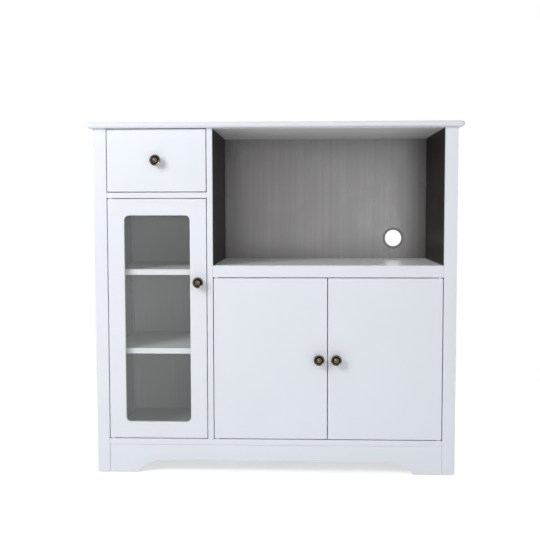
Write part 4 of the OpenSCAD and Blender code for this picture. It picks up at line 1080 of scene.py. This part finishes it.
@dataclass
class DisplayDoor:
    """The glazed door: a frame with a round-cornered window, and its glass in a rebate."""

    frame_w: float = 44.5 * MM
    window_r: float = 13 * MM
    rebate_w: float = 8 * MM
    rebate_d: float = 5 * MM
    ease: float = 1.5 * MM
    lip: float = 1.2 * MM
    grind: float = 0.4 * MM

    def frame_loops(self) -> list[list[Vector]]:
        """Returns: the loops of the frame's section, round the outer edge and back through the window."""
        x, (y0, y1), z = box_of("display_door_frame")
        window = tuple((low + self.frame_w, high - self.frame_w) for low, high in (x, z))
        glass_y = y1 - self.rebate_d
        return [
            *arrised("display_door_frame", self.ease, 8),
            ring(y1, window, self.rebate_w, self.window_r),
            ring(glass_y, window, self.rebate_w, self.window_r),
            ring(glass_y, window, 0.0, self.window_r),
            *(ring(y0 + depth, window, inset, self.window_r + inset)
              for depth, inset in reversed(quarter_round(self.lip))),
        ]

    def build(self) -> None:
        """Builds the frame, and the pane with fine ground edges."""
        made("display_frame", lofted(self.frame_loops(), True), [WHITE], "display_door_frame",
             body="display_door")
        x, (y0, y1), z = box_of("door_glass")
        mesh = lofted([ring(y, (x, z), -inset, self.window_r) for y, inset in (
            (y0, self.grind), (y0 + self.grind, 0.0), (y1 - self.grind, 0.0), (y1, self.grind))])
        for face in mesh.faces:
            face.material_index = 0 if abs(face.normal.y) > 0.99 else 1
        made("display_glass", mesh, [GLASS, GLASS_EDGE], "door_glass", body="display_door")


@dataclass
class Drawer:
    """The drawer: its lacquered front, and its box of grey boards."""

    cam_bore: Flat = (15.2 * MM, 9.1 * MM)
    cam_z: float = 861.1 * MM
    cam_in: float = 24 * MM

    def build(self, drill: GeometryTree) -> None:
        """Builds the front and the box. Args: drill: the tree that makes the bits."""
        slab("drawer_face", "drawer_front", "drawer")
        y = box_of("drawer_left_side")[1][0] + self.cam_in
        boards = []
        for name, face, out in (("left", 1, Side.RIGHT), ("right", 0, Side.LEFT)):
            node = f"drawer_{name}_side"
            hole = Bores((((box_of(node)[0][face], y, self.cam_z), out.value),), *self.cam_bore)
            boards.append(Board(node, Across.X, 0.6 * MM, GREY_AND_SHADE_DRAWER, bores=(hole,), body="drawer"))
        boards.append(Board("drawer_back", Across.Y, 0.6 * MM, GREY_AND_SHADE_FLAT, body="drawer"))
        boards.append(Board("drawer_bottom", Across.Z, 0.3 * MM, GREY_AND_SHADE_DRAWER, body="drawer"))
        for board in boards:
            board.build(drill)


# ---------- Fittings ----------


def solids(node: str) -> list[tuple[Vector, Vector]]:
    """Returns: the boxes of the loose solids in a CAD node, each as its two end corners, in order."""
    mesh = bmesh.new()
    mesh.from_mesh(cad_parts[node].data)
    bmesh.ops.remove_doubles(mesh, verts=mesh.verts, dist=WELD)
    left, boxes = set(mesh.verts), []
    while left:
        stack, seen = [left.pop()], []
        while stack:
            vert = stack.pop()
            seen.append(vert.co.copy())
            for other in (edge.other_vert(vert) for edge in vert.link_edges):
                if other in left:
                    left.discard(other)
                    stack.append(other)
        boxes.append((Vector(map(min, zip(*seen))), Vector(map(max, zip(*seen)))))
    mesh.free()
    return sorted(boxes, key=lambda box: (*box[0], *box[1]))


def places_of(node: str, rise: float = 0.0, outwards: bool = False) -> list[Place]:
    """Where a node's fasteners start, and the way that each one's head looks.

    A fastener's axis is the one along which it is longer or shorter than along the two others.
    Its head looks back, down, or towards the middle of the left-hand column.

    Args:
        node: the CAD node.
        rise: how far a head stands out from where it starts.
        outwards: heads along X look away from the column's middle instead.

    Returns:
        (point, direction) pairs.
    """
    middle = sum(box_of("drawer_front")[0]) / 2
    places = []
    for low, high in solids(node):
        size = high - low
        axis = max(range(3), key=lambda k: abs(size[k] - sorted(size)[1]))
        at, way = (low + high) / 2, Vector((0.0, 0.0, 0.0))
        way[axis] = (math.copysign(1.0, middle - at.x) * (-1.0 if outwards else 1.0), 1.0, -1.0)[axis]
        at[axis] = high[axis] if way[axis] > 0 else low[axis]
        places.append((tuple(at - rise * way), tuple(way)))
    return sorted(places)


@dataclass(frozen=True)
class Screws:
    """The screws of one CAD node, whose cross recess is a share of their heads' width and rise."""

    node: str
    body: str
    head: float
    rise: float
    shank: float
    length: float
    outwards: bool = False
    cross: float = 0.52
    sunk: float = 0.7

    def build(self, screws: GeometryTree) -> None:
        """Builds the screws. Args: screws: the fastener tree."""
        places = places_of(self.node, self.rise, self.outwards)
        screws.fit(self.node + "_set", places, ZINC, self.node, body=self.body, head=self.head,
                   rise=self.rise, shank=self.shank, length=self.length, recess=self.head * self.cross,
                   recess_depth=self.rise * self.sunk)


@dataclass
class Catches:
    """The magnetic catches: a nylon case with a magnet between two steel plates."""

    wall: float = 1.2 * MM
    depth: float = 8 * MM
    end: float = 2 * MM
    plate: float = 1.6 * MM
    plate_in: float = 3.2 * MM
    magnet_in: float = 5 * MM
    magnet_back: float = 0.7 * MM
    screw_in: float = 6 * MM
    screw_y: float = 5.5 * MM
    sunk: float = 0.9 * MM

    def build(self, screws: GeometryTree) -> None:
        """Builds both catches. Args: screws: the fastener tree."""
        strikes = [min(solids(f"{door}_hardware"), key=lambda box: box[1].y - box[0].y)
                   for door in ("display_door", "left_door", "right_door")]
        for name, (low, high) in zip(("display_catch", "pair_catch"), solids("magnetic_catches")):
            hit = [(a, b) for a, b in strikes
                   if low.x < (a.x + b.x) / 2 < high.x and a.z < high.z and b.z > low.z]
            metal, magnets = [], []
            for a, b in hit:
                span = (max(a.x, low.x) + self.end, min(b.x, high.x) - self.end)
                for z in (low.z + self.plate_in, high.z - self.plate_in - self.plate):
                    metal.append(block(span, (low.y, low.y + self.depth), (z, z + self.plate), 0.25 * MM))
                magnets.append(block(span, (low.y + self.magnet_back, low.y + self.depth),
                                     (low.z + self.magnet_in, high.z - self.magnet_in), 0.3 * MM))
            case = block((low.x, high.x), (low.y + self.wall, high.y), (low.z, high.z), self.wall)
            made(name + "_case", case, [NYLON], "magnetic_catches")
            made(name + "_plates", merged(metal), [ZINC] * len(metal), "magnetic_catches")
            made(name + "_magnet", merged(magnets), [FERRITE] * len(magnets), "magnetic_catches")
            hangs = min(a.z for a, _ in hit) < low.z
            z, out = (low.z + self.sunk, Side.UNDER) if hangs else (high.z - self.sunk, Side.TOP)
            ends = [((x, high.y - self.screw_y, z), out.value)
                    for x in (low.x + self.screw_in, high.x - self.screw_in)]
            screws.fit(name + "_screws", ends, ZINC, head=5.6 * MM, rise=0.8 * MM, shank=3 * MM,
                       length=14 * MM, recess=2.9 * MM, recess_depth=0.6 * MM)


@dataclass
class Grommet:
    """The cable grommet: a sleeve with a rounded flange."""

    bore: float = 25 * MM
    sleeve: float = 27 * MM
    flange: float = 2 * MM
    lead: float = 1 * MM
    lead_mid: float = 0.3 * MM
    corner: float = 1.2 * MM
    corner_mid: float = 0.35 * MM

    def build(self) -> None:
        """Builds the grommet."""
        (x0, x1), (y0, y1), (z0, z1) = box_of("cable_grommet")
        out, length = (x1 - x0) / 2, y1 - y0
        mesh = turned((
            (self.bore, length), (self.bore, self.lead), (self.bore + self.lead_mid, self.lead_mid),
            (self.bore + self.lead, 0.0), (out - self.corner, 0.0), (out - self.corner_mid, self.corner_mid),
            (out, self.corner), (out, self.flange), (self.sleeve, self.flange), (self.sleeve, length),
            (self.bore, length)))
        bmesh.ops.remove_doubles(mesh, verts=mesh.verts, dist=WELD)
        bmesh.ops.recalc_face_normals(mesh, faces=mesh.faces)
        at = Matrix.Translation(((x0 + x1) / 2, y0, (z0 + z1) / 2))
        mesh.transform(at @ Matrix.Rotation(-math.pi / 2, 4, "X"))
        made("grommet_ring", mesh, [DARK_PLASTIC], "cable_grommet")


@dataclass
class Fittings:
    """The nails, pins, glides, screws and cams, and the CAD nodes that stay as they are."""

    glide_z: float = 2 * MM
    cam_throat: float = 3 * MM
    screws: tuple[Screws, ...] = (
        Screws("runner_screws", "case", 6 * MM, 1.2 * MM, 3 * MM, 9.8 * MM),
        Screws("partition_screws", "case", 10 * MM, 3 * MM, 5 * MM, 50 * MM),
        Screws("drawer_screws", "drawer", 6.4 * MM, 1.2 * MM, 3 * MM, 8.7 * MM, True),
        Screws("clip_screws", "display_door", 6 * MM, 1.2 * MM, 3 * MM, 9.8 * MM),
    )
    carried: tuple[tuple[Finish, tuple[str, ...]], ...] = (
        (ZINC, ("cam_bolts", "case_runners", "drawer_runners", "display_door_hardware",
                "left_door_hardware", "right_door_hardware")),
        (BEECH, ("dowels",)),
        (NYLON, ("pivot_bushes", "front_rollers", "rear_rollers", "glass_clips")),
        # The bay liner's ceiling and floor sheets take the steel with painted light.
        (PAINTED_LIGHT_CEILING_STEEL, ("bay_liner_top",)),
        (PAINTED_LIGHT_FLOOR_STEEL, ("bay_liner_floor",)),
        # The bay liner's side and back sheets take the steel with painted shade.
        (PAINTED_SHADE_WALL_STEEL, ("bay_liner_sides",)),
        (PAINTED_SHADE_BACK_STEEL, ("bay_liner_back",)),
    )

    def pin_places(self) -> list[Place]:
        """Returns: where each shelf pin leaves its panel, and the way it points."""
        inner = box_of("right_side_panel")[0][0]
        walls = (-inner, *box_of("partition")[0], inner)
        places = []
        for x, y, z in (sum(box, Vector()) / 2 for box in solids("shelf_pins")):
            wall = min(walls, key=lambda w: abs(w - x))
            places.append(((wall, y, z), (Side.RIGHT if x > wall else Side.LEFT).value))
        return places

    def build(self, screws: GeometryTree) -> None:
        """Builds the fittings. Args: screws: the fastener tree."""
        pins, drums = pin_tree(), cam_tree()
        back = box_of("back_panel_left")[1][1]
        nails = [((low.x + high.x) / 2, (low.z + high.z) / 2) for low, high in solids("back_nails")]
        screws.fit("back_nail_heads", [((x, back, z), Side.BACK.value) for x, z in nails], ZINC, "back_nails",
                   head=5 * MM, rise=0.8 * MM, shank=1.8 * MM, length=20 * MM)
        pins.fit("shelf_pin_rods", self.pin_places(), ZINC, "shelf_pins")
        glides = sorted({(round((low.x + high.x) / 2, 4), round((low.y + high.y) / 2, 4))
                         for low, high in solids("foot_glides")})
        screws.fit("glide_discs", [((x, y, self.glide_z), Side.UNDER.value) for x, y in glides], NYLON,
                   "foot_glides", head=22 * MM, rise=self.glide_z, shank=2.5 * MM, length=16 * MM)
        for kind in self.screws:
            kind.build(screws)
        drums.fit("case_cams", places_of("cam_locks"), ZINC, "cam_locks")
        both = places_of("drawer_cams")
        across = [place for place in both if place[1][0] != 0]
        drums.fit("drawer_cam_drums", across, ZINC, "drawer_cams", body="drawer", depth=9 * MM)
        ends = [((x, y - self.cam_throat, z), way) for (x, y, z), way in both if way[1] > 0]
        screws.fit("drawer_cam_bolts", ends, ZINC, "drawer_cams", body="drawer", head=7 * MM,
                   rise=self.cam_throat, shank=6 * MM, length=29 * MM)
        Catches().build(screws)
        Grommet().build()
        for finish, names in self.carried:
            for name in names:
                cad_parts[name].data.materials[0] = finish.material()


# ---------- Studio ----------


@dataclass(frozen=True)
class Lamp:
    """A square soft lamp at a point, aimed at another."""

    name: str
    at: Point
    aim: Point
    size: float
    power: float
    tint: Colour = (1.0, 0.99, 0.98)

    def build(self) -> None:
        """Adds the lamp."""
        data = bpy.data.lights.new(self.name, "AREA")
        data.size = self.size
        data.energy = self.power
        data.color = self.tint
        lamp = in_scene(self.name, data)
        lamp.location = self.at
        lamp.rotation_euler = (Vector(self.aim) - Vector(self.at)).to_track_quat("-Z", "Y").to_euler()


@dataclass
class Studio:
    """A white floor and backdrop, soft light, and the camera where the photo's edges put it."""

    eye: Point = (0.087, -2.5474, 0.716)
    yaw: float = 0.0417086
    pitch: float = 0.0671917
    roll: float = -0.00194714
    focal: float = 888.55 / 540
    sensor: float = 36.0
    clip: Flat = (0.05, 50.0)
    floor_lift: float = 0.56
    floor_tone: Colour = (0.86, 0.86, 0.86)
    floor_fade: Flat = (0.75, 1.7)
    floor_radius: float = 14.0
    floor_z: float = -0.2 * MM
    ambient: float = 0.32
    sky: Colour = (0.94, 0.97, 1.0)
    blank: Colour = (1.0, 1.0, 1.0)
    lamps: tuple[Lamp, ...] = (
        Lamp("top", (0.0, 0.5, 2.9), (0.0, 0.1, 0.9), 1.6, 9.0, (1.0, 1.0, 1.0)),
        Lamp("right", (3.0, 0.9, 1.3), (0.3, 0.0, 0.5), 2.0, 17.0),
        Lamp("left", (-3.0, 0.9, 1.3), (-0.3, 0.0, 0.5), 2.0, 9.0),
        Lamp("back", (0.0, 3.2, 1.4), (0.0, 0.2, 0.5), 2.2, 22.0),
        Lamp("key", (-1.6, -2.0, 1.75), (-0.3, 0.0, 0.8), 1.1, 37.1),
        Lamp("front", (0.9, -2.6, 1.35), (0.15, 0.0, 0.6), 1.8, 8.0, (0.97, 0.98, 1.0)),
        Lamp("low", (0.4, -2.3, 0.25), (0.14, 0.0, 0.9), 1.2, 5.5, (0.97, 0.98, 1.0)),
    )

    def camera(self) -> None:
        """Adds the camera at the fitted place."""
        cy, sy, cp, sp = (f(a) for a in (self.yaw, self.pitch) for f in (math.cos, math.sin))
        right, down = Vector((cy, sy, 0.0)), Vector((sp * sy, -sp * cy, -cp))
        ahead = Vector((-cp * sy, cp * cy, -sp))
        cr, sr = math.cos(self.roll), math.sin(self.roll)
        right, down = cr * right - sr * down, sr * right + cr * down
        data = bpy.data.cameras.new("camera")
        data.sensor_width, data.lens = self.sensor, self.focal * self.sensor
        data.clip_start, data.clip_end = self.clip
        camera = in_scene("camera", data)
        turn = Matrix((right, -down, -ahead)).transposed().to_4x4()
        camera.matrix_world = Matrix.Translation(self.eye) @ turn
        bpy.context.scene.camera = camera

    def seen(self, nodes: Nodes) -> Value:
        """Returns: 1 for camera, glossy and transmission rays, and 0 for the rest."""
        path = nodes.node("ShaderNodeLightPath")
        rays = [Value(nodes, path.outputs[f"Is {kind} Ray"]) for kind in ("Camera", "Glossy", "Transmission")]
        return nodes.value("ShaderNodeClamp", {"Value": rays[0] + rays[1] + rays[2]})

    def floor(self) -> None:
        """Adds the floor, which is white to the camera away from the cabinet and keeps the shadow near it."""
        shader = Shader("studio_floor")
        far = shader.value("ShaderNodeVectorMath", {0: shader.place()}, "Value", operation="LENGTH")
        seen = self.seen(shader)
        lit = shader.value("ShaderNodeBsdfDiffuse", {"Color": self.floor_tone})
        dark = shader.value("ShaderNodeEmission", {"Strength": 0.0})
        white = shader.value("ShaderNodeEmission", {"Color": self.blank, "Strength": 1.0})
        glow = shader.value("ShaderNodeMixShader", {0: seen * self.floor_lift, 1: dark, 2: white})
        near = shader.value("ShaderNodeAddShader", {0: lit, 1: glow})
        mask = shader.remap(far, *self.floor_fade) * seen
        whole = shader.value("ShaderNodeMixShader", {0: mask, 1: near, 2: white})
        shader.node("ShaderNodeOutputMaterial", {"Surface": whole})
        mesh = bmesh.new()
        bmesh.ops.create_circle(mesh, cap_ends=True, segments=96, radius=self.floor_radius,
                                matrix=Matrix.Translation((0, 0, self.floor_z)))
        data = bpy.data.meshes.new("floor")
        mesh.to_mesh(data)
        mesh.free()
        data.materials.append(shader.material)
        in_scene("floor", data)

    def world(self) -> None:
        """Lights the scene softly from all round, and shows white behind the cabinet."""
        world = bpy.data.worlds.new("studio")
        world.use_nodes = True
        nodes = Nodes(world.node_tree)
        seen = self.seen(nodes)
        ambient = nodes.value("ShaderNodeBackground", {"Color": self.sky, "Strength": self.ambient})
        white = nodes.value("ShaderNodeBackground", {"Color": self.blank, "Strength": 1.0})
        mix = nodes.value("ShaderNodeMixShader", {0: seen, 1: ambient, 2: white})
        nodes.node("ShaderNodeOutputWorld", {"Surface": mix})
        bpy.context.scene.world = world

    def build(self) -> None:
        """Builds the studio."""
        bpy.context.scene.view_settings.view_transform = "Standard"
        self.camera()
        self.floor()
        self.world()
        for lamp in self.lamps:
            lamp.build()


def main() -> None:
    logging.basicConfig(level=logging.INFO, format="%(name)s: %(message)s")
    Studio().build()
    drill, screws = hole_tree(), fastener_tree()
    Worktop().build()
    Carcase().build(drill)
    Drawer().build(drill)
    DisplayDoor().build()
    for side in ("left", "right"):
        slab(f"{side}_door_slab", f"{side}_door_panel", f"{side}_door")
    for node, body, door in (("drawer_knob", "drawer", "drawer_front"),
                             ("display_door_knob", "display_door", "display_door_frame"),
                             ("left_door_knob", "left_door", "left_door_panel"),
                             ("right_door_knob", "right_door", "right_door_panel")):
        Knob(node, body, door).build(screws)
    Fittings().build(screws)


if __name__ == "__main__":
    main()
